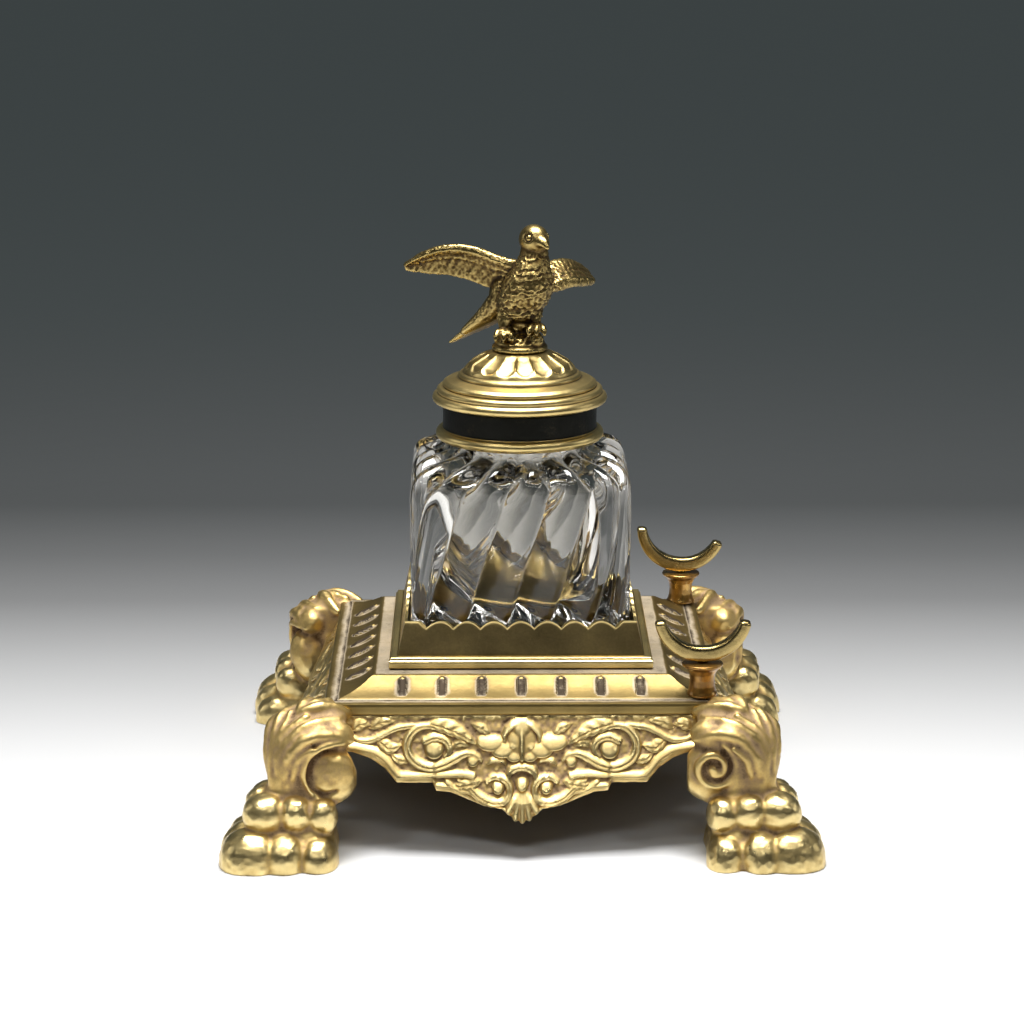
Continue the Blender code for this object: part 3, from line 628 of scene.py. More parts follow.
# Ornament of one apron, as (x, w): x from its middle line, and w down its face from the ledge.
# Everything is drawn on the left half and repeated, mirrored, on the right.
RIM_BEAD = [(-47.5, 8.8), (-44.3, 9.1), (-40.6, 10.1), (-37.4, 12.4), (-34.6, 15.8),
            (-32.2, 17.0), (-25.4, 16.8), (-17, 16.6), (-13.4, 17.2)]
OUTER_C = [(-22.5, 4.2), (-26.4, 3.3), (-29.4, 4.3), (-31.3, 7.2), (-31.3, 10.5), (-29.2, 13.2),
           (-25.4, 14.7), (-21.7, 14.1), (-18.5, 12.5), (-15.2, 11.2), (-12.4, 11.6), (-11.2, 13.2)]
INNER_C = [(-26.6, 7.6), (-23.8, 6.4), (-20.9, 7.4), (-19.9, 10.0), (-21.2, 12.0)]
STEM = [(-46.9, 6.3), (-44.6, 7.4), (-41.2, 7.3), (-37.4, 5.4), (-34.3, 4.0), (-30.5, 3.4), (-27.0, 3.0)]
SCROLL_TO_PEARL = [(-17.4, 18.4), (-14.6, 20.2), (-11.8, 22.6), (-8.4, 24.2), (-4.9, 24.0),
                   (-3.4, 21.4), (-4.4, 18.4), (-7.4, 17.4), (-9.6, 18.8)]
PENDANT_RIM = [(-20.5, 18.8), (-17.8, 20.9), (-14.0, 21.8), (-11.2, 24.4), (-8.0, 25.8),
               (-4.6, 26.6), (-2.6, 27.4), (0.0, 30.0)]
MASK_CHIN = [(-3.9, 18.0), (-3.0, 15.4), (0.0, 14.2), (3.0, 15.4), (3.9, 18.0)]
# Leaves: line, width, rise, number of veins.
LEAVES = [
    ([(-46.6, 4.6), (-44.2, 2.9), (-41.6, 3.4)], 3.6, 1.1, 3),
    ([(-41.6, 4.2), (-38.4, 2.2), (-34.6, 2.4)], 3.2, 1.1, 3),
    ([(-39.6, 7.2), (-36.4, 9.6), (-32.6, 8.8)], 3.8, 1.3, 4),
    ([(-30.6, 13.4), (-34.2, 12.6), (-36.4, 10.6)], 2.6, 1.2, 3),
    ([(-25.6, 2.8), (-22.3, 3.2), (-18.5, 4.4), (-15.0, 6.6), (-12.0, 9.2)], 4.4, 1.9, 5),
    ([(-19.0, 9.4), (-16.6, 8.2), (-14.0, 9.6)], 2.6, 1.2, 3),
    ([(-13.6, 3.2), (-10.4, 4.4), (-8.4, 7.0)], 2.6, 1.3, 3),
    ([(-11.4, 19.2), (-15.2, 19.6), (-19.4, 20.4)], 3.6, 1.7, 4),
]
# Ribbons: line, width, rise, taper at the two ends, groove.
RIBBONS = [
    (RIM_BEAD, 1.9, 1.5, (1.0, 1.0)),
    (STEM, 1.7, 1.1, (0.5, 0.6), 0.3),
    (OUTER_C, 2.7, 1.8, (0.5, 0.35), 0.45),
    (INNER_C, 2.2, 1.6, (0.9, 0.4), 0.4),
    ([(-0.5, 1.6), (-3.0, 3.0), (-4.8, 5.4), (-4.4, 8.2)], 1.6, 2.1, (0.6, 0.4)),
    ([(-9.4, 14.2), (-8.0, 12.8), (-5.6, 12.8), (-4.4, 14.2)], 1.5, 1.4, (0.4, 0.4)),
    (SCROLL_TO_PEARL, 2.2, 2.0, (0.5, 0.6), 0.4),
    (PENDANT_RIM, 1.5, 1.3, (1.0, 0.9)),
]
# Pearls, and the lobes of the mask: centre, radii, rise, dimple.
DOMES = [
    ((-24.1, 9.9), (2.7, 2.7), 2.2),
    ((-13.5, 13.2), (1.7, 1.7), 1.6),
    ((-8.6, 8.0), (4.0, 2.3), 2.3, 0.15),
    ((-5.2, 9.8), (3.6, 2.4), 2.3, 0.15),
    ((-2.2, 11.4), (2.4, 1.8), 2.3, 0.15),
    ((-2.4, 8.2), (1.3, 1.0), 2.4, 0.5),
    ((-6.6, 20.4), (1.8, 1.8), 2.3),
    ((0.0, 7.4), (4.2, 5.0), 2.0),
    ((0.0, 3.6), (2.7, 2.9), 2.4),
    ((0.0, 19.4), (1.8, 1.8), 2.6),
]
SHELL_RIBS = (-3.6, -1.8, 0.0, 1.8, 3.6)

APRON_STRETCH = math.hypot(1.0, APRON_SLOPE)
# The lower edge of an apron, as (distance from its middle line, z).
APRON_EDGE = [(0.0, 10.0), (3.8, 11.4), (5.5, 13.3), (12.0, 14.2), (19.5, 17.0), (23.5, 17.3),
              (24.5, 19.3), (34.2, 19.3), (37.5, 22.8), (41.5, 25.2), (46.7, 26.8)]


def apron_front(z):
    """How far out the apron's ground lies at height z."""
    return APRON_TOP_OUT + APRON_SLOPE * (APRON_TOP - z)


def apron_low(x):
    """Height of the apron's lower edge at x."""
    edge = np.array(APRON_EDGE)
    return np.interp(np.abs(x), edge[:, 0], edge[:, 1])


def down_face(z):
    """How far below the ledge height z lies, measured down the sloping face."""
    return (APRON_TOP - z) * APRON_STRETCH


def edge_band(height, x, w):
    """The smooth upright border between the rim bead and the apron's lower edge."""
    width = 1.1 + 1.9 * smoothstep(12.0, 18.0, np.abs(x))
    above = np.clip(down_face(apron_low(x)) - w, 0, 10)
    inside = smoothstep(width + 0.1, width - 0.4, above)
    return np.maximum(height, inside * (0.15 + 0.46 * above))


def apron_relief(x, w):
    """Height of the ornament above the apron's ground. x runs across and w down the face."""
    left = -np.abs(x)
    h = edge_band(np.zeros(x.shape), x, w)
    for ornament in LEAVES:
        h = leaf(h, left, w, *ornament)
    for ornament in RIBBONS:
        h = stroke(h, left, w, *ornament)
    for ornament in DOMES:
        h = dome(h, left, w, *ornament)
    h = stroke(h, x, w, [(0.0, 1.6), (0.0, 6.5), (0.0, 11.6)], 2.2, 2.9, (0.5, 0.8))
    h = stroke(h, x, w, MASK_CHIN, 2.2, 2.4, (0.6, 0.6), 0.3)
    for reach in SHELL_RIBS:
        top = 21.6 + 0.06 * reach**2
        tip = 29.0 - 0.20 * reach**2
        rib = [(0.40 * reach, top), (0.75 * reach, 0.5 * (top + tip)), (1.05 * reach, tip)]
        h = stroke(h, x, w, rib, 2.1, 2.3, (0.5, 1.0))
    return h


def apron_mesh():
    """One apron: a fine relief over its face, a rounded lower edge, and a plain back."""
    across = 2 * int(APRON_HALF / 0.3)
    half = APRON_HALF - 0.2
    xs = np.linspace(-half, half, across)
    low = apron_low(xs)
    top = LEDGE_BOTTOM - 0.2
    down = np.linspace(0, 1, 96)[:, None]
    x = np.broadcast_to(xs, (len(down), across))
    z = top - down * (top - low)
    w = down_face(z)
    rise = apron_relief(x, w)
    flat = np.stack([x, w, np.zeros(x.shape)], -1)
    ground = 1 - smoothstep(0.0, 0.5, rise)
    rise = 1.05 * rise + 0.10 * lumps(flat, 2.2, 3) - 0.55
    rise = rise + ground * (0.34 * lumps(flat, 1.0, 5) - 0.16)
    near_edge = np.clip((z - low) / 1.2, 0, 1)
    rim = np.sqrt(1 - (1 - near_edge) ** 2)
    rise = np.maximum(rise, -0.95) * rim - (1 - rim) * 0.9
    normal = np.array([0.0, -1.0, -APRON_SLOPE]) / APRON_STRETCH
    face = np.stack([x, -apron_front(z), z], -1) + rise[..., None] * normal
    back = np.stack([x, APRON_WALL - apron_front(z), z], -1)
    surface = Surface()
    surface.grid(face, flip=True)
    surface.grid(back)
    for end in (0, -1):
        surface.grid(np.stack([face[end], back[end]]), flip=end == -1)
        surface.grid(np.stack([face[:, end], back[:, end]]), flip=end == 0)
    mesh = surface.mesh("apron", weld=0.001)
    find_cavities(mesh, reach=12, depth=0.32)
    darken_ground(mesh)
    return mesh


def darken_ground(mesh):
    """Lowers the cavity value where the apron's sunk ground shows, so that it takes the patina. The back gets
    painted shade.
    """
    points, _, _ = mesh_arrays(mesh)
    _, y, z = points.T
    rise = (-y - apron_front(z)) / APRON_STRETCH
    ground = (1 - smoothstep(-0.5, 0.2, rise)) * smoothstep(0.5, 2.0, down_face(z))
    stipple = 0.19 + 0.22 * lumps(points, 0.8, 6)
    value = cavities(mesh)
    value = value + ground * (0.75 * (stipple - value)) + 0.10 * smoothstep(0.4, 1.6, rise)
    # Painted shade: the apron's back, under the plinth, takes the darkest colour.
    behind = y > -(apron_front(z) - 0.6 * APRON_WALL)
    set_cavities(mesh, np.where(behind, 0.0, value))


# ---------------------------------------------------------------- plinth

FLUTE_PITCH = 11.0
FLUTES = 7
FLUTE_HALF_WIDTH = 1.35
FLUTE_DEPTH = 0.95
PLINTH_WALL = 3.0


def square_sides(surface, profile, columns, relief=None):
    """Four mitred sides swept from a profile of (half width, z). `relief` moves points along its normal."""
    profile = np.asarray(profile, float)
    half, z = profile[:, :1], profile[:, 1:]
    out = profile_out(profile)
    x = np.linspace(-1, 1, columns) * half
    lift = relief(x, z) if relief else np.zeros(x.shape)
    surface.four_sides(np.stack([x, -(half + lift * out[:, :1]), z + lift * out[:, 1:]], -1), flip=True)


def flutes(x, z):
    """Seven round-topped flutes on the cove, deepest near the top and running out at its foot."""
    nearest = np.clip(np.round(x / FLUTE_PITCH), -(FLUTES // 2), FLUTES // 2) * FLUTE_PITCH
    across = (x - nearest) / FLUTE_HALF_WIDTH
    up = (z - LEDGE_TOP) / (PLATEAU_Z - LEDGE_TOP)
    top = smoothstep(0.93, 0.80, up + 0.10 * across**2)
    foot = smoothstep(0.12, 0.30, up)
    body = np.sqrt(1 - np.clip(np.abs(across), 0, 1) ** 2)
    return -FLUTE_DEPTH * body * top * foot


def cove_line():
    """The cove's section, from the plateau's edge down to the ledge: a small fillet, a sweep and a bead."""
    plateau = [(PLATEAU_HALF - 0.5, PLATEAU_Z), (PLATEAU_HALF, PLATEAU_Z - 0.15)]
    sweep = []
    for t in np.linspace(0, 1, 13):
        bow = 0.75 * math.sin(math.pi * t)
        sweep.append((PLATEAU_HALF + 0.3 + (COVE_FOOT - PLATEAU_HALF - 0.9) * t - 0.35 * bow,
                      PLATEAU_Z - 0.35 - (PLATEAU_Z - LEDGE_TOP - 0.75) * t - 0.55 * bow))
    foot = [(COVE_FOOT - 0.2, LEDGE_TOP + 0.15), (COVE_FOOT + 0.2, LEDGE_TOP)]
    return plateau + sweep + foot


def plinth_mesh():
    """The plinth's outside, from the plateau over the fluted cove to the ledge, and its plain underside."""
    surface = Surface()
    square_sides(surface, profile_line([(CENTRE_HALF, PLATEAU_Z), *cove_line()], 0.32), 320, flutes)
    step = [(COVE_FOOT + 0.2, LEDGE_TOP), (LEDGE_HALF - 0.7, LEDGE_TOP), (LEDGE_HALF - 0.2, LEDGE_TOP - 0.15),
            (LEDGE_HALF, LEDGE_TOP - 0.6), (LEDGE_HALF, LEDGE_BOTTOM + 0.9),
            (LEDGE_HALF - 0.15, LEDGE_BOTTOM + 0.4), (LEDGE_HALF - 0.6, LEDGE_BOTTOM),
            (LEDGE_HALF - 3.6, LEDGE_BOTTOM)]
    square_sides(surface, profile_line(step, 0.45), 120)
    under = [(LEDGE_HALF - 3.6, LEDGE_BOTTOM), (LEDGE_HALF - 6.0, LEDGE_BOTTOM),
             (COVE_FOOT - 4.0, LEDGE_TOP - PLINTH_WALL), (PLATEAU_HALF - 1.6, PLATEAU_Z - PLINTH_WALL),
             (CENTRE_HALF, PLATEAU_Z - PLINTH_WALL)]
    square_sides(surface, profile_line(under, 1.5), 60)
    surface.flat_centre(PLATEAU_Z, 24, flip=False)
    surface.flat_centre(PLATEAU_Z - PLINTH_WALL, 24, flip=True)
    mesh = surface.mesh("plinth_casting", weld=0.002)
    find_cavities(mesh, reach=8, depth=0.30)
    shade_plinth(mesh)
    return mesh


def shade_plinth(mesh):
    """Patina on the plateau and in the cove's foot. Painted shade: the flutes, the underside and the middle
    take the darkest colour.
    """
    points, _, _ = mesh_arrays(mesh)
    value = cavities(mesh)
    z = points[:, 2]
    reach = np.abs(points[:, :2]).max(1)
    along = np.abs(points[:, :2]).min(1)
    up = (z - LEDGE_TOP) / (PLATEAU_Z - LEDGE_TOP)
    slot = np.abs(along - np.round(along / FLUTE_PITCH) * FLUTE_PITCH) < FLUTE_HALF_WIDTH * 0.85
    in_cove = (up > 0.16) & (up < 0.9) & (reach < COVE_FOOT) & (along < FLUTE_PITCH * 3.3)
    # Painted shade: the flute slots take the darkest colour.
    value = np.where(slot & in_cove, 0.0, value)
    corner = np.exp(-(((reach - COVE_FOOT) / 1.1) ** 2)) * (z > LEDGE_BOTTOM + 1)
    value = value - 0.26 * corner - 0.32 * smoothstep(PLATEAU_HALF - 0.2, PLATEAU_HALF - 1.2, reach)
    shelf = (np.abs(z - LEDGE_TOP) < 0.05) & (reach > COVE_FOOT)
    value = np.where(shelf, value - 0.22, value)
    # Painted shade: the underside and the middle under the tray take the darkest colour.
    set_cavities(mesh, np.where((z < LEDGE_BOTTOM + 0.3) | (reach < PLATEAU_HALF - 8.0), 0.0, value))


SIDES = ("front", "right", "rear", "left")
piece(plinth_mesh(), COVE, "stand", ["plinth"], 45)
four_around(apron_mesh(), [f"apron_{side}" for side in SIDES], ["plinth"] * QUARTERS, 60)

# ---------------------------------------------------------------- legs

# The upright of a leg, below its overlaid leaves and volutes: (inner, outer, corner radius, z).
LEG_CORE = [
    (50.4, 79.6, 7.0, 0.4),
    (50.6, 78.8, 7.0, 3.0),
    (51.2, 76.4, 7.0, 7.0),
    (52.0, 74.2, 6.5, 10.0),
    (51.6, 74.2, 6.5, 12.0),
    (51.8, 72.8, 6.5, 15.0),
    (53.4, 70.2, 5.5, 17.6),
    (54.0, 69.4, 5.0, 19.6),
    (51.0, 69.4, 5.0, 22.4),
    (48.6, 69.0, 5.0, 26.0),
    (48.2, 67.8, 5.0, 30.5),
    (48.2, 66.0, 4.5, 34.5),
    (48.6, 64.0, 4.0, 37.6),
    (51.0, 61.0, 3.0, 39.6),
]
# Lumps of a paw, (centre, radii), in the front left corner: one face looks to -Y and is repeated on -X.
CORNER_BALLS = [
    ((-73.4, -73.4, 1.2), (9.1, 9.1, 8.6)),
    ((-69.8, -69.8, 13.2), (6.3, 6.3, 5.6)),
]
FACE_BALLS = [
    ((-64.6, -73.6, 1.4), (6.2, 8.9, 8.2)),
    ((-55.5, -73.0, 0.8), (5.7, 8.6, 7.6)),
    ((-61.6, -70.0, 13.4), (5.0, 6.2, 5.3)),
    ((-54.8, -69.4, 12.6), (4.7, 5.8, 5.0)),
    ((-62.6, -71.2, 1.2), (12.6, 9.0, 7.2)),
    ((-61.4, -69.0, 13.0), (11.0, 5.4, 4.7)),
]
LOBE_BALLS = [
    ((-53.0, -64.4, 22.4), (8.0, 5.6, 8.8)),
    ((-50.6, -66.0, 23.8), (5.4, 4.4, 6.2)),
    ((-60.0, -64.2, 28.6), (8.4, 5.4, 8.4)),
    ((-64.2, -60.0, 28.6), (5.4, 8.4, 8.4)),
    ((-52.4, -63.2, 33.4), (7.0, 4.8, 4.4)),
    ((-63.2, -52.4, 33.4), (4.8, 7.0, 4.4)),
]
LOBE_RIM = [(-48.4, -67.0, 32.4), (-53.6, -69.2, 32.0), (-58.2, -69.7, 28.4),
            (-59.0, -69.6, 23.2), (-56.4, -69.0, 18.8), (-52.4, -68.2, 17.2)]
# Locks of the mane on one face, as (half thickness, line), also repeated on the other face.
MANE = [
    (1.7, [(-66.6, -67.0, 23.0), (-65.4, -67.6, 29.0), (-61.8, -67.0, 34.4),
           (-55.8, -65.2, 37.2), (-50.2, -62.0, 37.4)]),
    (1.9, [(-64.4, -68.8, 23.6), (-62.8, -69.2, 29.4), (-58.6, -68.8, 33.8),
           (-52.6, -67.4, 34.6), (-46.6, -65.0, 32.4)]),
    (1.2, [(-62.2, -69.4, 23.0), (-60.7, -69.9, 28.4), (-57.0, -70.2, 31.4)]),
    (1.9, [(-60.2, -60.8, 39.4), (-56.4, -60.0, 40.0), (-51.6, -58.0, 39.2), (-47.6, -55.2, 37.2)]),
    (1.7, [(-68.2, -66.0, 21.6), (-67.4, -65.8, 28.6), (-63.8, -64.8, 34.8), (-58.8, -63.2, 38.4)]),
    (1.4, [(-66.0, -68.4, 21.4), (-64.4, -68.8, 27.6), (-60.8, -68.4, 33.0),
           (-55.6, -67.2, 36.0), (-50.0, -65.0, 35.4)]),
]
CREST = [(-66.6, -66.6, 23.0), (-65.2, -65.2, 30.4), (-61.6, -61.6, 36.4),
         (-56.8, -56.8, 39.8), (-53.0, -53.0, 39.8)]
PAW_SQUARE = 0.88
SPIRAL_CENTRE = (-52.2, -68.0, 25.4)
SPIRAL_TURNS = 1.45
SPIRAL_START = math.radians(115)
SPIRAL_R = 7.0
# The line cut into the plain volute, as (x, z) on its face.
LOBE_GROOVE = [(-50.6, 30.8), (-54.6, 30.0), (-57.2, 27.2), (-57.8, 23.4),
               (-56.6, 20.2), (-53.8, 18.6), (-50.8, 19.2)]
LEG_INSIDE = 45.2
LEG_VOXEL = 0.42
CUT_FROM, CUT_FULL = -63.0, -65.5


def spiral_line():
    """The full volute of the other face, winding in to its eye."""
    cx, cy, cz = SPIRAL_CENTRE
    line = []
    for t in np.linspace(0, 1, 19):
        angle = SPIRAL_START + 2 * math.pi * SPIRAL_TURNS * t
        radius = SPIRAL_R * (1 - 0.7 * t**0.8)
        line.append((cx + radius * math.cos(angle), cy - 0.6 * t, cz + radius * math.sin(angle)))
    return line


def swap_xy(points):
    return [(y, x, *rest) for x, y, *rest in points]


def along(points, half, end=0.45):
    """Stations of a ridge: `half` thick in the middle, thinner at its ends."""
    last = len(points) - 1
    out = []
    for k, point in enumerate(points):
        swell = end + (1 - end) * math.sin(math.pi * (0.12 + 0.76 * k / last))
        out.append((*point, half * swell, half * swell))
    return out


def leg_core():
    """The upright, stacked from rounded squares."""
    rows = []
    for inner, outer, corner, z in LEG_CORE:
        middle, flat = -(inner + outer) / 2, (outer - inner) / 2 - corner
        ring = []
        for quarter, (side_x, side_y) in enumerate(((1, 1), (-1, 1), (-1, -1), (1, -1))):
            for angle in math.pi / 2 * (quarter + np.linspace(0, 1, 6)):
                x = middle + flat * side_x + corner * math.cos(angle)
                y = middle + flat * side_y + corner * math.sin(angle)
                ring.append((x, y, z))
        rows.append(ring)
    return capped(np.array(rows))


def leg_mesh():
    """The front left leg: upright, paw, volutes and mane, as one skin."""
    parts = [leg_core()]
    parts += [ball(centre, radii, square=PAW_SQUARE) for centre, radii in CORNER_BALLS]
    for lump in FACE_BALLS:
        parts.append(ball(*lump, square=PAW_SQUARE))
        parts.append(ball(*swap_xy(lump), square=PAW_SQUARE))
    parts += [ball(centre, radii) for centre, radii in LOBE_BALLS]
    parts.append(sausage(along(LOBE_RIM, 1.3), (0.0, 1.0, 0.0)))
    for half, line in MANE:
        parts.append(sausage(along(line, half), (0.0, 0.6, 0.8)))
        parts.append(sausage(along(swap_xy(line), half), (0.6, 0.0, 0.8)))
    parts.append(sausage(along(CREST, 2.0, 0.6), (0.7, -0.7, 0.0)))
    cx, cy, cz = SPIRAL_CENTRE
    parts.append(ball((cy + 4.2, cx, cz - 2.4), (5.2, 8.2, 9.2)))
    parts.append(sausage(along(swap_xy(spiral_line()), 1.25, 0.8), (1.0, 0.0, 0.0)))
    parts.append(ball((cy, cx, cz), (2.1, 1.9, 1.9)))
    mesh = fuse("leg", parts, LEG_VOXEL, 6, finish_leg)
    find_cavities(mesh, reach=14, depth=0.30)
    shade_leg(mesh)
    return mesh


def groove(flat, line, half):
    """1 along a line drawn on a face and falling to 0 beside it; points and line are both two columns."""
    gap = np.full(len(flat), np.inf)
    for mark in curve(line, 0.25):
        gap = np.minimum(gap, ((flat - mark) ** 2).sum(1))
    return np.exp(-gap / half**2)


def finish_leg(points, normals):
    """Cuts the volutes, stands the leg on its flat sole inside its place, and dents it faintly as cast."""
    x, y, z = points.T
    cx, _, cz = SPIRAL_CENTRE
    between = []
    for px, _, pz in spiral_line()[:-4]:
        shrink = 1 - 1.75 / math.hypot(px - cx, pz - cz)
        between.append((cx + (px - cx) * shrink, cz + (pz - cz) * shrink))
    cut = 1.0 * groove(np.stack([x, z], 1), LOBE_GROOVE, 0.75) * smoothstep(CUT_FROM, CUT_FULL, y)
    cut = cut + 0.9 * groove(np.stack([y, z], 1), between, 0.7) * smoothstep(CUT_FROM, CUT_FULL, x)
    dent = 0.35 * lumps(points, 6.5, 6) + 0.20 * lumps(points, 3.2, 7) + 0.09 * lumps(points, 1.3, 8) - cut
    points = points + normals * dent[:, None]
    points[:, 2] = np.maximum(points[:, 2], 0.0)
    points[:, :2] = np.clip(points[:, :2], -FOOT_OUT, -LEG_INSIDE)
    return points


def shade_leg(mesh):
    """Rubs the toes bright and leaves the upright duller."""
    points, _, _ = mesh_arrays(mesh)
    upright = smoothstep(17.0, 23.0, points[:, 2])
    set_cavities(mesh, cavities(mesh) * (1.0 - 0.48 * upright) + 0.06 - 0.04 * upright)


CORNERS = ("front_left", "front_right", "rear_right", "rear_left")
four_around(leg_mesh(), [f"paw_leg_{c}" for c in CORNERS], [f"leg_{c}" for c in CORNERS], 180)

# ---------------------------------------------------------------- tray and gallery

GALLERY_FOOT = 34.5
GALLERY_HEAD = 32.4
GALLERY_SHEET = 0.8
SCALLOPS = 7
SCALLOP_PITCH = 7.5
SCALLOP_DEPTH = 2.0
TRAY_FLOOR = 46.7


def tray_mesh():
    """A sunk floor, a stepped rim round the gallery's foot, and a flat underside."""
    half, top, foot = TRAY_HIGH[0], TRAY_HIGH[2], TRAY_LOW[2]
    surface = Surface()
    floor = [(CENTRE_HALF, TRAY_FLOOR), (GALLERY_FOOT - 1.6, TRAY_FLOOR),
             (GALLERY_FOOT - 1.5, TRAY_FLOOR + 0.4)]
    square_sides(surface, profile_line(floor, 0.8), 60)
    edge = [(GALLERY_FOOT + 0.1, top - 1.2), (GALLERY_FOOT + 0.2, top - 0.5), (half - 0.9, top - 0.55),
            (half - 0.6, top - 0.75), (half - 0.5, top - 1.3), (half - 0.1, top - 1.6), (half, top - 2.0),
            (half, foot + 0.3), (half - 0.3, foot), (CENTRE_HALF, foot)]
    square_sides(surface, profile_line(edge, 0.4), 120)
    surface.flat_centre(TRAY_FLOOR, 20, flip=False)
    surface.flat_centre(foot, 20, flip=True)
    mesh = surface.mesh("tray_plate", weld=0.002)
    find_cavities(mesh, reach=6, depth=0.25)
    points, _, _ = mesh_arrays(mesh)
    set_cavities(mesh, cavities(mesh) - 0.16 * smoothstep(top - 1.5, top - 1.9, points[:, 2]))
    return mesh


def scalloped_top(x):
    """Height of the gallery's upper edge: seven arcs with sharp cusps on each side, rising to the corners."""
    inside = np.abs(x) < SCALLOP_PITCH * SCALLOPS / 2 + 0.01
    local = (np.abs(x) / SCALLOP_PITCH + 0.5) % 1.0 - 0.5
    dip = SCALLOP_DEPTH * (2 * np.abs(local)) ** 2
    ends = SCALLOP_DEPTH * np.clip((np.abs(x) - SCALLOP_PITCH * SCALLOPS / 2) / 2.4, 0, 1)
    return GALLERY_HIGH[2] - np.where(inside, dip, SCALLOP_DEPTH - ends)


def gallery_mesh():
    """A leaning sheet with its scalloped edge rolled over."""
    share = np.linspace(-1, 1, 420)
    foot_z = GALLERY_LOW[2]
    rows = []
    top = scalloped_top(share * GALLERY_HEAD)
    for inset, levels in ((0.0, np.linspace(0, 1, 26)), (GALLERY_SHEET, np.linspace(1, 0, 12))):
        for level in levels:
            z = foot_z + (top - foot_z) * level
            lean = (GALLERY_HEAD - GALLERY_FOOT) * (z - foot_z) / (GALLERY_HIGH[2] - foot_z)
            roll = 0.16 * smoothstep(0.96, 1.0, level) if inset else 0.15 * smoothstep(0.93, 1.0, level)
            half = GALLERY_FOOT + lean - inset + roll
            ripple = 0.06 * np.sin(share * 9.0 + 1.0) * math.sin(math.pi * level)
            rows.append(np.stack([share * half, -(half + ripple), z - 0.12 * (level == 1.0)], -1))
    rows.append(rows[0])
    surface = Surface()
    surface.four_sides(np.array(rows), flip=True)
    mesh = surface.mesh("gallery_fence", weld=0.002)
    points, _, _ = mesh_arrays(mesh)
    side = np.abs(points[:, :2]).min(1)
    near_top = smoothstep(0.75, 0.25, scalloped_top(side) - points[:, 2])
    set_cavities(mesh, 0.31 + 0.64 * near_top)
    return mesh


piece(tray_mesh(), SPUN, "stand", ["tray"], 35)
piece(gallery_mesh(), SPUN, "stand", ["gallery"], 50)

# ---------------------------------------------------------------- turned pieces


def lathe(name, profile, sides=160, spacing=0.3, relief=None, at=(0.0, 0.0)):
    """Turns a closed profile of (radius, z) about Z. `relief` moves points out along the profile's normal."""
    line = profile_line([*profile, profile[0]], spacing)
    angle = np.arange(sides) * 2 * math.pi / sides
    out = profile_out(line)
    lift = relief(angle[None, :], line[:, :1], line[:, 1:]) if relief else np.zeros((len(line), sides))
    radius = line[:, :1] + lift * out[:, :1]
    z = line[:, 1:] + lift * out[:, 1:]
    surface = Surface()
    surface.grid(np.stack([radius * np.cos(angle) + at[0], radius * np.sin(angle) + at[1], z], -1), wrap=True)
    mesh = surface.mesh(name, weld=0.002)
    find_cavities(mesh, reach=5, depth=0.10)
    return mesh


def rounded(profile, radius, steps=3):
    """Rounds the corners of a profile with short arcs."""
    p = [np.array(point, float) for point in profile]
    out = [p[0]]
    for before, corner, after in zip(p, p[1:], p[2:]):
        a, b = before - corner, after - corner
        reach = min(radius, 0.45 * np.linalg.norm(a), 0.45 * np.linalg.norm(b))
        start, end = corner + a / np.linalg.norm(a) * reach, corner + b / np.linalg.norm(b) * reach
        for t in np.linspace(0, 1, steps + 1):
            out.append((1 - t) ** 2 * start + 2 * t * (1 - t) * corner + t**2 * end)
    return [*out, p[-1]]


def darken_band_lift_bead(mesh, above):
    """Gives the upright band of the collar its darkest colour, and brightens the bead under it."""
    points, _, _ = mesh_arrays(mesh)
    set_cavities(mesh, np.where(points[:, 2] > above, 0.0, cavities(mesh) + 0.2))


BAND_R = 22.0
LIP_R = 17.0
COLLAR_WALL = BAND_R - 0.8
BEAD_LOW = COLLAR_LOW[2]
COLLAR_TOP = COLLAR_HIGH[2]
BEAD = [(BAND_R + 2.0 * math.cos(a) ** 0.8, BEAD_LOW + 1.65 + 1.6 * math.sin(a))
        for a in np.linspace(-1.35, 1.45, 15)]
COLLAR_PROFILE = [
    (COLLAR_WALL, BEAD_LOW + 0.3), *BEAD, (BAND_R, BEAD_LOW + 3.6), (BAND_R, COLLAR_TOP - 0.3),
    (BAND_R - 0.3, COLLAR_TOP), (LIP_R, COLLAR_TOP), (LIP_R, COLLAR_TOP - 1.0),
    (COLLAR_WALL, COLLAR_TOP - 1.0),
]
COLLAR = lathe("collar_band", rounded(COLLAR_PROFILE, 0.3))
darken_band_lift_bead(COLLAR, BEAD_LOW + 3.5)
piece(COLLAR, SPUN, "well", ["collar"], 40)

LID_R = LID_HIGH[0]
LID_UNDER = LID_LOW[2] + 1.5
LID_TOP = LID_HIGH[2]
PETALS = 17
DOME_FOOT = LID_R - 8.8
DOME_TOP = 8.2


def petals(angle, radius, z):
    """Hollow petals around the dome, each ending in a rounded lip above the last step."""
    outside = (z > LID_UNDER + 8.2) & (radius < DOME_FOOT + 0.4) & (radius > DOME_TOP)
    share = (radius - DOME_TOP) / (DOME_FOOT - DOME_TOP)
    wave = np.abs(np.cos(angle * PETALS / 2))
    reach = 0.80 + 0.16 * wave
    fade = smoothstep(reach + 0.04, reach - 0.10, share) * smoothstep(0.02, 0.35, share)
    hollow = -0.50 * np.clip(wave, 0, 1) ** 0.4 * fade
    ridge = 0.10 * (1 - wave) ** 2 * smoothstep(1.0, 0.8, share) * smoothstep(0.05, 0.4, share)
    top = z > LID_UNDER + 8.8 - 0.9 * (radius > DOME_FOOT - 0.5)
    return np.where(outside & top & (z > dome_line(radius) - 0.6), hollow + ridge, 0.0)


def dome_line(radius):
    """Height of the dome's outer surface at a radius."""
    heights = [LID_TOP, LID_UNDER + 13.1, LID_UNDER + 11.2, LID_UNDER + 9.0]
    return np.interp(radius, [8.2, 11.0, 14.0, 16.2], heights)


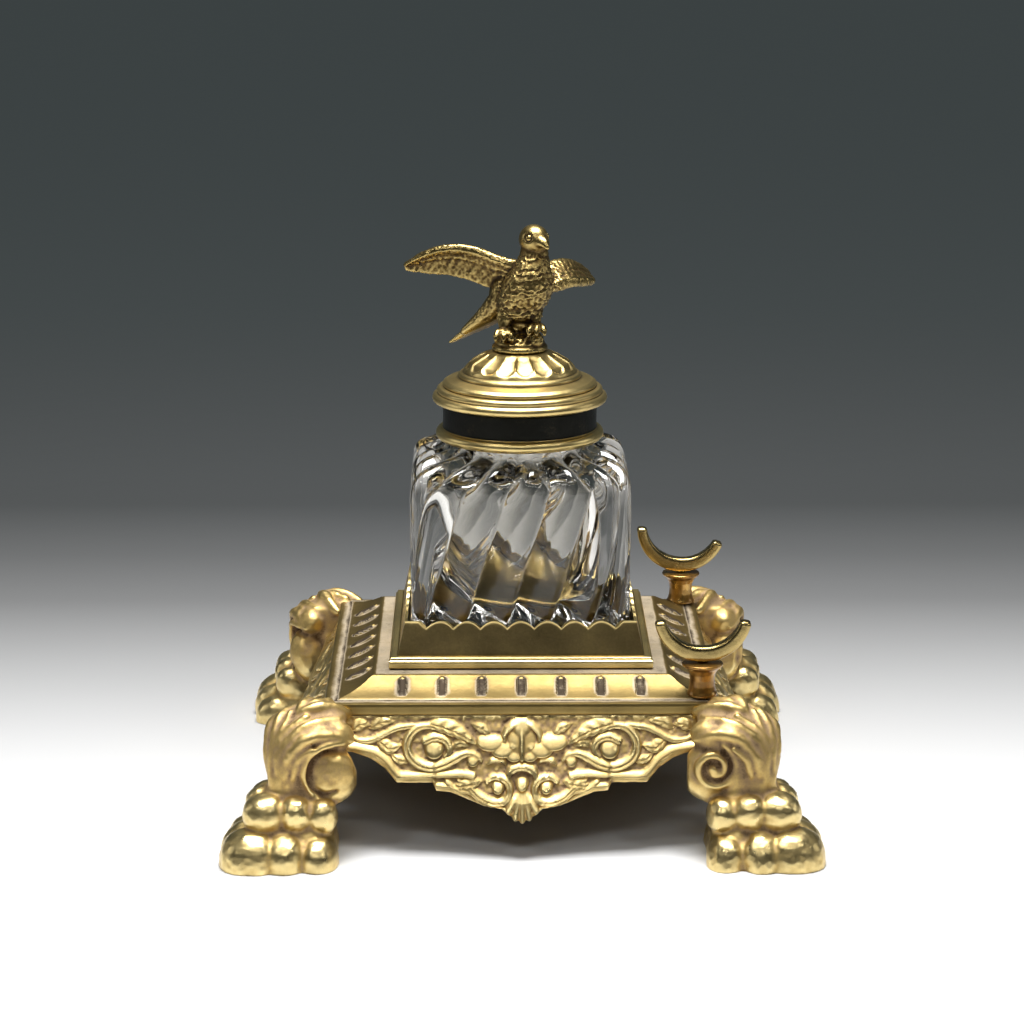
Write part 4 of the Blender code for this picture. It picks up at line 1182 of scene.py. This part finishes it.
# The lid's outside, from its lower edge up: how far in from the rim, and how far above that edge.
LID_STEPS = [
    (0.9, 0.0), (0.25, 0.35), (0.0, 1.2), (0.25, 2.0), (0.9, 2.5), (1.5, 2.7), (1.3, 3.2), (1.35, 3.8),
    (1.9, 4.3), (3.3, 4.5), (2.95, 5.0), (3.1, 5.6), (4.2, 6.3), (6.6, 6.9), (7.5, 7.1), (7.4, 7.7),
    (7.9, 8.3), (8.8, 8.6), (9.2, 9.7), (11.0, 11.5), (14.0, 13.3),
]
# Its inside, from the crown down to the rim, in the same way, and then the lip that enters the collar.
LID_HOLLOW = [(14.0, 11.6), (11.6, 9.6), (9.4, 7.0), (4.6, 4.2), (2.6, 2.2), (2.6, 1.2)]
LID_LIP = [(1.4, 1.2), (1.4, -1.5), (0.4, -1.5), (0.4, 0.0)]
STUD_HOLE_R = 1.8


def from_rim(rim, base, table):
    """A profile of (radius, z) from a table of (distance in from the rim, height above the base)."""
    return [(rim - inward, base + up) for inward, up in table]


LID_OUTSIDE = from_rim(LID_R, LID_UNDER, LID_STEPS) + [(LID_R - 16.8, LID_TOP), (STUD_HOLE_R, LID_TOP)]
LID_INSIDE = [(STUD_HOLE_R, LID_TOP - 1.2), (8.0, LID_TOP - 1.4)]
LID_INSIDE += from_rim(LID_R, LID_UNDER, LID_HOLLOW) + from_rim(LIP_R, LID_UNDER, LID_LIP)
LID = lathe("lid_dome", rounded(LID_OUTSIDE, 0.22) + LID_INSIDE, 408, 0.3, relief=petals)
piece(LID, SPUN, "lid", ["lid"], 50)

# ---------------------------------------------------------------- pen rests

SPOOL_TOP = SPOOL_FRONT_HIGH[2]
REST_X = (SPOOL_FRONT_LOW[0] + SPOOL_FRONT_HIGH[0]) / 2
CRESCENT_R = 13.6
CRESCENT_SPAN = math.radians(81.0)
CRESCENT_HALF_DEPTH = 2.0
CRESCENT_MIDDLE = 4.3
CRESCENT_THINNING = 1.3
CRESCENT_CAP = 0.06
REAR_TILT = math.radians(-11.0)
SPOOL = [(4.2, 0.0), (4.2, 0.5), (3.85, 1.2), (3.55, 2.6), (3.4, 4.4), (3.65, 6.0), (4.4, 7.4),
         (5.3, 8.2), (5.7, 8.5), (5.7, 9.0), (5.5, 9.2), (1.5, 9.2), (1.5, 0.0)]


def crescent_mesh(name, y, tilt):
    """A cradle bent round an arc, crowned across, thinner towards its rounded ends."""
    centre = np.array([REST_X, y, SPOOL_TOP + 0.3 + CRESCENT_R])
    turn = np.linspace(0, 2 * math.pi, 40, endpoint=False)
    bulge = np.copysign(np.abs(np.cos(turn)) ** 0.55, np.cos(turn))
    breadth = np.copysign(np.abs(np.sin(turn)) ** 0.40, np.sin(turn))
    flat_end = 1 - CRESCENT_CAP
    caps = np.linspace(math.pi / 2, 0, 8)[:-1]
    stations = [(-flat_end - CRESCENT_CAP * math.sin(a), math.cos(a) ** 0.8) for a in caps]
    stations += [(share, 1.0) for share in np.linspace(-flat_end, flat_end, 91)]
    stations += [(flat_end + CRESCENT_CAP * math.sin(a), math.cos(a) ** 0.8) for a in reversed(caps)]
    rings = []
    for share, shrink in stations:
        angle = share * CRESCENT_SPAN + tilt
        thick = CRESCENT_MIDDLE - CRESCENT_THINNING * abs(share) ** 1.5
        radius = CRESCENT_R - thick / 2 + bulge * thick / 2 * shrink
        ring = centre + np.array([math.sin(angle), 0.0, -math.cos(angle)]) * radius[:, None]
        ring[:, 1] += breadth * CRESCENT_HALF_DEPTH * shrink
        rings.append(ring)
    surface = Surface()
    surface.grid(np.array(rings), wrap=True)
    mesh = surface.mesh(name, weld=0.001)
    find_cavities(mesh, reach=4, depth=0.05)
    return mesh


for place, low, high, tilt in (
    ("front", SPOOL_FRONT_LOW, SPOOL_FRONT_HIGH, 0.0),
    ("rear", SPOOL_REAR_LOW, SPOOL_REAR_HIGH, REAR_TILT),
):
    y = (low[1] + high[1]) / 2
    profile = rounded([(r, low[2] + z) for r, z in SPOOL], 0.15)
    spool = lathe(f"spool_{place}", profile, 72, 0.25, at=(REST_X, y))
    piece(spool, LACQUER, "stand", [f"pen_rest_spool_{place}"], 40)
    cradle = crescent_mesh(f"cradle_{place}", y, tilt)
    piece(cradle, REST_BRASS, "stand", [f"pen_rest_crescent_{place}"], 50)

# ---------------------------------------------------------------- glass

WELL_HALF = 31.0
WELL_CORNER = 7.0
LOBES = 20
SWIRL = 0.296
WELL_BASE = WELL_LOW[2]
SHOULDER_FROM, SHOULDER_SPAN = 44.0, 7.0
CAVITY_MIDDLE = 10.5


def square_ring(half, corner, z, sides):
    """Evenly spaced points round a rounded square, counter-clockwise from the middle of its +X side."""
    corner = min(corner, half)
    straight = 2 * (half - corner)
    arc = corner * math.pi / 2
    length = 4 * (straight + arc)
    s = (np.arange(sides) / sides * length + straight / 2) % length
    quarter = (s // (straight + arc)).astype(int)
    local = s - quarter * (straight + arc)
    on_side = local < straight
    angle = np.where(on_side, 0.0, (local - straight) / max(corner, 1e-6))
    u = np.where(on_side, local - straight / 2, straight / 2 + corner * np.sin(angle))
    v = np.where(on_side, half, half - corner + corner * np.cos(angle))
    turn = quarter * math.pi / 2
    x = v * np.cos(turn) - u * np.sin(turn)
    y = v * np.sin(turn) + u * np.cos(turn)
    nx = np.cos(turn + angle)
    ny = np.sin(turn + angle)
    return np.stack([x, y, np.full(sides, float(z))], -1), np.stack([nx, ny, np.zeros(sides)], -1)


# Rows of the outside: half width, corner radius, height above the base, lobe depth.
GLASS_OUTSIDE = [
    (30.0, 6.4, 0.0, 0.3), (30.8, 6.8, 0.5, 0.9), (31.15, 7.0, 1.5, 1.6), (31.15, 7.0, 14.0, 1.75),
    (31.1, 7.0, 30.0, 1.75), (31.1, 7.2, 41.0, 2.0), (31.1, 7.6, 44.6, 2.9), (30.7, 8.4, 47.8, 3.9),
    (29.4, 10.0, 50.4, 4.4), (27.0, 13.0, 52.2, 4.2), (24.2, 16.5, 53.2, 3.2), (21.6, 19.0, 54.0, 1.6),
    (20.0, 20.0, 55.2, 0.2), (19.6, 19.6, 56.2, 0.0), (19.6, 19.6, 64.0, 0.0), (19.3, 19.3, 64.4, 0.0),
]
# Rows of the ink cavity, from the mouth down: half width, corner radius, height above the base.
GLASS_INSIDE = [
    (15.6, 15.6, 64.4), (15.0, 15.0, 63.6), (15.0, 15.0, 51.4), (15.6, 15.0, 49.8), (18.0, 13.0, 48.6),
    (21.6, 8.0, 47.4), (23.2, 5.0, 46.4), (23.5, 4.6, 45.4), (23.0, 5.0, 36.0), (20.8, 6.0, 22.0),
    (18.6, 7.0, 14.0), (17.2, 8.0, 11.8), (15.0, 8.0, 11.0), (8.0, 6.0, 10.6),
]


def glass_mesh():
    """Swirl-moulded glass: convex lobes with sharp valleys outside, and a plain tapering cavity inside."""
    sides = 560
    rows = []
    share = np.arange(sides) / sides
    length = 8 * WELL_HALF - 8 * WELL_CORNER + 2 * math.pi * WELL_CORNER
    for half, corner, up, depth in curve_rows(GLASS_OUTSIDE, 0.55):
        ring, out = square_ring(half, corner, WELL_BASE + up, sides)
        phase = LOBES * (share - SWIRL * up / length)
        lobe = np.abs(np.cos(math.pi * phase)) ** 0.85 - 1.0
        flare = np.clip((up - SHOULDER_FROM) / SHOULDER_SPAN, 0.0, 1.0)
        tilt = np.array([0.0, 0.0, 0.85 * flare])
        rows.append(ring + (out * (1 - 0.55 * flare) + tilt) * (depth * lobe)[:, None])
    for half, corner, up in curve_rows(GLASS_INSIDE, 0.9):
        rows.append(square_ring(half, corner, WELL_BASE + up, sides)[0])
    surface = Surface()
    surface.grid(np.array(rows), wrap=True)
    surface.fan(rows[0], (0.0, 0.0, WELL_BASE), flip=True)
    surface.fan(rows[-1], (0.0, 0.0, WELL_BASE + CAVITY_MIDDLE))
    return surface.mesh("swirl_glass", weld=0.0005)


def curve_rows(rows, spacing):
    """Dense rows through a table whose third column is a height, smoothed, and spaced along its profile."""
    table = np.asarray(rows, float)
    path = np.concatenate([[0], np.cumsum(np.hypot(np.diff(table[:, 0]), np.diff(table[:, 2])) + 0.05)])
    out = []
    for k in range(len(table) - 1):
        count = max(1, int((path[k + 1] - path[k]) / spacing))
        before, here = table[max(k - 1, 0)], table[k]
        then, after = table[k + 1], table[min(k + 2, len(table) - 1)]
        gap = path[k + 1] - path[k]
        left = gap + (path[k] - path[k - 1] if k else gap)
        right = gap + (path[k + 2] - path[k + 1] if k + 2 < len(table) else gap)
        m0, m1 = (then - before) / left * gap, (after - here) / right * gap
        for t in np.arange(count) / count:
            h = (2 * t**3 - 3 * t**2 + 1, t**3 - 2 * t**2 + t, 3 * t**2 - 2 * t**3, t**3 - t**2)
            out.append(h[0] * here + h[1] * m0 + h[2] * then + h[3] * m1)
    out.append(table[-1])
    return out


piece(glass_mesh(), GLASS, "well", ["glass_well"], 60)

# ---------------------------------------------------------------- bird

BIRD_SIDE = (0.87, 0.5, 0.0)
BIRD_AXES = [BIRD_SIDE, (-0.5, 0.87, 0.0), (0.0, 0.0, 1.0)]
BIRD_VOXEL = 0.26
RUMP = ((-4.0, 4.6, 143.0), (4.8, 5.4, 6.6))
VENT = ((0.0, 0.2, 136.4), (4.2, 3.4, 3.6))
BELLY = ((0.4, -0.8, 140.2), (6.2, 4.8, 4.4))
BIRD_BODY = [
    (-3.4, 5.4, 139.6, 3.6, 2.8), (-1.2, 2.4, 141.0, 6.2, 5.0), (1.0, 0.0, 143.4, 7.3, 6.1),
    (2.6, -1.4, 147.2, 7.2, 6.4), (3.6, -1.2, 151.6, 5.6, 5.3), (4.0, -0.5, 155.2, 4.2, 4.2),
    (4.1, -0.5, 158.4, 3.7, 3.8),
]
HEAD = ((4.0, -0.9, 159.9), (4.15, 4.9, 4.25))
BEAK = [(4.8, -2.8, 160.0, 2.6, 2.3), (6.6, -5.4, 159.6, 1.7, 1.6), (7.6, -7.1, 158.6, 0.7, 0.8)]
TAIL_SIDE = (0.80, 0.58, 0.10)
# Stations of the tail: x, y, z, half width, half height.
BIRD_TAIL = [
    (-2.0, 4.4, 143.2, 4.0, 4.2), (-8.0, 8.4, 136.8, 2.9, 2.7),
    (-14.0, 11.6, 131.8, 1.7, 1.3), (-19.4, 14.2, 127.8, 0.5, 0.4),
]
WING_RIGHT = {
    "line": [(2.4, -1.2, 148.2), (-6.5, 2.2, 149.8), (-14.0, 3.8, 152.3),
             (-20.5, 4.9, 153.0), (-27.0, 6.2, 152.0), (-32.8, 7.4, 150.6)],
    "chord": [10.0, 10.8, 11.0, 9.8, 7.0, 2.2],
    "across": (0.10, -0.30, 0.95),
    "top": 1.0,
}
WING_LEFT = {
    "line": [(4.4, -1.4, 147.4), (9.4, 2.4, 148.8), (13.6, 6.4, 149.4),
             (17.4, 10.8, 148.4), (20.2, 14.2, 146.8)],
    "chord": [9.2, 10.2, 10.4, 9.0, 6.0],
    "across": (0.20, -0.75, -0.62),
    "top": -1.0,
}
DISC_R = 8.0
DISC_TOP = LID_TOP + 0.3


def wing_body(spec):
    """A cambered blade. The feathers are ridges that fan back from its leading edge on both faces."""
    dense = curve(np.column_stack([spec["line"], spec["chord"]]), 0.45)
    line, chord = dense[:, :3], dense[:, 3]
    ahead = np.gradient(line, axis=0)
    ahead /= np.linalg.norm(ahead, axis=1)[:, None]
    across = np.broadcast_to(np.asarray(spec["across"], float), ahead.shape)
    across = across - (across * ahead).sum(1)[:, None] * ahead
    across /= np.linalg.norm(across, axis=1)[:, None]
    face = np.cross(ahead, across)
    span = np.linspace(0, 1, len(line))[:, None]
    v = np.linspace(0, 1, 46)[None, :]
    body = 0.42 + 0.95 * np.exp(-((v - 0.12) / 0.12) ** 2) + 0.25 * np.sin(math.pi * v)
    thick = body * (1.15 - 0.45 * span) * np.sqrt(np.clip(1 - (2 * v - 1) ** 8, 0, 1))
    feather = np.abs(np.sin(math.pi * (span * 17 - v * 2.4 * (0.4 + span))))
    barbs = 0.17 * (feather**0.6 - 0.5) * smoothstep(0.30, 0.45, v) * smoothstep(1.0, 0.85, v)
    cover = np.abs(np.sin(math.pi * (span * 26 + v * 3.0)))
    barbs = barbs + 0.16 * (cover**0.6 - 0.5) * smoothstep(0.16, 0.22, v) * smoothstep(0.48, 0.40, v)
    raised = thick + barbs + 0.35 * smoothstep(0.46, 0.40, v)
    notch = 0.03 * (1 - feather**0.5) * (v**6)
    place = line[:, None] + across[:, None] * (chord[:, None] * (0.5 - v * (1 - notch)))[..., None]
    camber = spec["top"] * 0.9 * np.sin(math.pi * v) * (1 - span * 0.5)
    upper = place + face[:, None] * (camber + raised)[..., None]
    lower = place + face[:, None] * (camber - raised)[..., None]
    return capped(np.concatenate([upper, lower[:, ::-1]], axis=1), flip=True)


def tail_parts():
    """Long tail feathers laid side by side in a narrow fan. The two outermost stop short."""
    parts = []
    for k in range(-2, 3):
        stations = []
        for j, (x, y, z, half, height) in enumerate(BIRD_TAIL[: 4 if abs(k) < 2 else 3]):
            spread = k * (1.35 - 0.20 * j)
            stations.append((*(np.array((x, y, z)) + np.array(TAIL_SIDE) * spread), half, height))
        parts.append(sausage(stations, TAIL_SIDE, 12, 0.6))
    return parts


def foot_parts(x, up):
    """A feathered thigh, a shank, and three toes in front and one behind, on the mound or `up` above it."""
    side = (1.0, 0.0, 0.0)
    thigh = [(x * 0.62, -0.6, 141.0 + up * 0.3, 3.4, 3.4), (x * 0.9, -2.2, 137.6 + up * 0.6, 2.5, 2.5),
             (x, -3.2, 135.6 + up, 1.5, 1.5), (x, -3.6, 133.6 + up, 1.2, 1.2)]
    parts = [sausage(thigh, side, 14, 0.6)]
    for spread in (-1.9, 0.0, 1.9):
        toe = [(x, -3.6, 133.6 + up, 1.0, 1.0), (x + spread * 0.7, -5.2, 134.1 + up, 1.1, 1.1),
               (x + spread * 1.1, -6.8, 133.2 + up, 0.95, 0.95),
               (x + spread * 1.2, -7.5, 132.2 + up, 0.5, 0.55)]
        parts.append(sausage(toe, side, 12, 0.5))
    heel = [(x, -3.2, 133.4 + up, 0.9, 0.9), (x, -1.4, 133.0 + up, 0.8, 0.8)]
    parts.append(sausage(heel, side, 10, 0.5))
    if up:
        parts.append(ball((x * 0.88, -3.8, 131.6), (2.6, 2.4, 1.6 + up * 0.8)))
    return parts


def turned_body(profile, sides=72):
    angles = np.arange(sides) * 2 * math.pi / sides
    return capped(np.array([[(r * math.cos(a), r * math.sin(a), z) for a in angles] for r, z in profile]))


MOUND_STEPS = [(0.3, 0.0), (0.0, 0.3), (0.0, 1.1), (0.4, 1.5), (0.9, 1.8), (0.8, 2.4), (1.5, 2.9)]
MOUND = [(1.5, 121.4), (1.5, DISC_TOP), *from_rim(DISC_R, DISC_TOP, MOUND_STEPS),
         (5.6, DISC_TOP + 4.0), (3.0, DISC_TOP + 4.9), (1.0, DISC_TOP + 5.2)]
BREAST_AXIS = (3.0, -0.6)
EYE_MIDDLE = np.array([4.9, -3.3, 161.0])
EYE_APART = np.array([3.2 * 0.87, 1.6, 0.0])


def feathered(points, normals):
    """Raises ragged, overlapping feathers on the breast, back and neck, and cuts a ring round each eye."""
    x, y, z = points.T
    out_x, out_y = x - BREAST_AXIS[0], y - BREAST_AXIS[1]
    angle, radius = np.arctan2(out_y, out_x), np.hypot(out_x, out_y)
    pitch = 2.3 - 0.9 * smoothstep(149, 157, z)
    row = (159.6 - z + 1.5 * lumps(points, 2.4, 11)) / 1.8
    across = (angle * 5.6 + 0.8 * lumps(points, 2.0, 12)) / pitch
    cell = (across + 0.5 * (np.floor(row) % 2)) % 1.0 - 0.5
    scallop = (row + 1.2 * cell**2) % 1.0
    feather = 0.30 * scallop**1.4 - 0.12 + 0.16 * lumps(points, 0.8, 13)
    on_body = smoothstep(136.6, 138.4, z) * smoothstep(157.8, 154.6, z) * smoothstep(10.6, 8.8, radius)
    rough = 0.22 * lumps(points, 0.9, 14) + 0.16 * lumps(points, 0.5, 15)
    mound = smoothstep(130.6, 131.4, z) * smoothstep(135.4, 134.2, z) * smoothstep(9.0, 8.2, np.hypot(x, y))
    wing = smoothstep(9.6, 11.0, radius) * smoothstep(134.0, 136.0, z)
    lift = feather * on_body + rough * (0.45 * wing + 1.3 * mound + 0.25 * on_body)
    for side in (-1.0, 1.0):
        d = np.linalg.norm(points - (EYE_MIDDLE + side * EYE_APART), axis=1)
        lift = lift - 0.42 * np.exp(-(((d - 1.15) / 0.28) ** 2)) + 0.18 * np.exp(-((d / 0.7) ** 2))
    points = points + normals * lift[:, None]
    points[:, 2] = np.minimum(points[:, 2], BIRD_HIGH[2])
    return points


def bird_mesh():
    """The bird with spread wings on its mound, as one skin."""
    parts = [turned_body(MOUND), sausage(BIRD_BODY, BIRD_SIDE, 28, 0.6), ball(*HEAD, BIRD_AXES, 18, 28)]
    parts += [ball(centre, radii) for centre, radii in (RUMP, BELLY, VENT)]
    parts.append(sausage(BEAK, BIRD_SIDE, 14, 0.4))
    parts += [wing_body(WING_RIGHT), wing_body(WING_LEFT)]
    parts += tail_parts() + foot_parts(-4.6, 0.0) + foot_parts(4.6, 1.6)
    mesh = fuse("bird", parts, BIRD_VOXEL, 2, feathered)
    find_cavities(mesh, reach=12, depth=0.16)
    return mesh


piece(bird_mesh(), BIRD_BRASS, "lid", ["finial_bird"], 180)

# ---------------------------------------------------------------- kept CAD pieces


def dress(material, *nodes):
    """Gives CAD nodes that keep their own shape a material."""
    for node in nodes:
        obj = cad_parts[node]
        if not obj.material_slots:
            obj.data.materials.append(material)
        for slot in obj.material_slots:
            slot.material = material


def plain_brass():
    """Spun brass for pieces that keep their CAD mesh, which carries no cavity values."""
    n = Nodes("spun_brass_fittings")
    tone = n.noise(220.0, 5.0, 0.6)
    tints = [(0.32, (0.24, 0.16, 0.08)), (0.50, (0.55, 0.41, 0.22)), (0.72, (0.80, 0.66, 0.40))]
    n.set("Base Color", n.ramp(tone, tints))
    n.set("Roughness", n.ramp(tone, [(0.32, 0.48), (0.6, 0.24)]))
    n.set("Metallic", 1.0)
    n.set("Normal", n.bump(n.noise(900.0, 4.0, 0.6), 0.00005, 0.4))
    return n.material


dress(plain_brass(), "collar_hinge_leaf", "lid_hinge_leaf", "hinge_pin")
dress(STEEL, *(f"leg_screw_{corner}" for corner in CORNERS))
dress(STEEL, "tray_screw", "finial_nut")
dress(PLASTER, "neck_cement")

# ---------------------------------------------------------------- stage


# Floor tone, a painted falloff of light, from just behind the object to far behind it.
FLOOR_PAINTED_FALLOFF = [(0.04, 0.72), (0.11, 0.60), (0.21, 0.38), (0.27, 0.26),
              (0.33, 0.15), (0.40, 0.09), (0.49, 0.04), (1.0, 0.015)]
# The floor sheet, in metres: how far it reaches to each side, in front and behind, and its sweep up.
FLOOR_SIDE, FLOOR_FRONT, FLOOR_BACK, SWEEP_R, SWEEP_TOP = 5.0, -3.0, 3.2, 1.2, 4.0
AIM = Vector((0.0, 0.0, 0.07))
# Name, place, size and power of each light.
LIGHTS = [
    ("overhead", (0.0, 0.06, 0.95), (0.55, 0.42), 16.0),
    ("front_left", (-0.50, -0.50, 0.85), (0.14, 0.14), 0.8),
    ("front_right", (0.55, -0.42, 0.82), (0.14, 0.14), 0.7),
    ("front_strip", (0.0, -0.72, 0.78), (0.45, 0.10), 0.9),
    ("side_left", (-0.85, 0.10, 0.36), (0.30, 0.40), 0.5),
    ("side_right", (0.85, 0.10, 0.36), (0.30, 0.40), 0.5),
]
CAMERA_PLACE = (-0.0098, -0.870, 0.2943)
CAMERA_DOWN = 13.81
CAMERA_TURN = -0.50
CAMERA_LENS = 109.1
SENSOR = 36.0


def floor_material():
    """Painted light and shade: pale near the object, falling away to grey far behind it, painted dark out of
    view in front and beside, and glowing faintly behind.
    """
    n = Nodes("studio_floor")
    split = n.tree.nodes.new("ShaderNodeSeparateXYZ")
    n.link(n.place, split.inputs[0])
    back = n.math("DIVIDE", n.math("ADD", split.outputs["Y"], 0.10), 0.90, clamp=True)
    tone = n.ramp(back, FLOOR_PAINTED_FALLOFF)
    front = n.math("DIVIDE", n.math("ADD", split.outputs["Y"], 0.48), 0.14, clamp=True)
    beside = n.math("ABSOLUTE", split.outputs["X"])
    side = n.math("DIVIDE", n.math("SUBTRACT", 0.52, beside), 0.18, clamp=True)
    near = n.math("MULTIPLY", front, n.math("MAXIMUM", side, back))
    # Painted shade: near black (0.05) out of view in front and beside, the painted falloff elsewhere.
    n.set("Base Color", n.mix(near, (0.05, 0.05, 0.05), tone))
    n.set("Roughness", n.ramp(n.noise(30.0, 3.0), [(0.3, 0.82), (0.7, 0.90)]))
    n.set("Specular IOR Level", 0.1)
    # Painted light: the floor glows faintly of its own, more so far behind the object.
    painted_glow = n.ramp(back, [(0.1, (0.0, 0.0, 0.0)), (0.55, (0.030, 0.036, 0.037)), (1.0, (0.042, 0.051, 0.052))])
    n.set("Emission Color", painted_glow)
    n.set("Emission Strength", 1.0)
    return n.material


def make_floor():
    """One sheet: flat under the object, and swept up a long way behind it."""
    line = [(FLOOR_FRONT, 0.0), (FLOOR_BACK, 0.0)]
    for a in np.linspace(0.1, math.pi / 2, 14):
        line.append((FLOOR_BACK + SWEEP_R * math.sin(a), SWEEP_R - SWEEP_R * math.cos(a)))
    line.append((FLOOR_BACK + SWEEP_R, SWEEP_TOP))
    surface = Surface()
    xs = np.linspace(-FLOOR_SIDE, FLOOR_SIDE, 9)
    surface.grid(np.array([[(x, y, z) for x in xs] for y, z in line]) / MM)
    mesh = surface.mesh("floor", weld=0)
    mesh.materials.append(floor_material())
    add_object("floor", mesh)


def softbox(name, place, size, power):
    light = bpy.data.lights.new(name, "AREA")
    light.shape = "RECTANGLE"
    light.size, light.size_y = size
    light.energy = power
    obj = add_object(name, light)
    obj.location = place
    obj.rotation_euler = (AIM - Vector(place)).to_track_quat("-Z", "Y").to_euler()


def make_world():
    world = bpy.data.worlds.new("studio")
    world.use_nodes = True
    background = world.node_tree.nodes["Background"]
    background.inputs["Color"].default_value = (0.020, 0.022, 0.023, 1.0)
    background.inputs["Strength"].default_value = 1.0
    bpy.context.scene.world = world


def make_camera():
    camera = bpy.data.cameras.new("camera")
    camera.lens = CAMERA_LENS
    camera.sensor_width = SENSOR
    obj = add_object("camera", camera)
    obj.location = CAMERA_PLACE
    obj.rotation_euler = (math.radians(90 - CAMERA_DOWN), 0.0, math.radians(CAMERA_TURN))
    bpy.context.scene.camera = obj


make_floor()
make_world()
make_camera()
for light in LIGHTS:
    softbox(*light)
bpy.context.scene.view_settings.view_transform = "Standard"
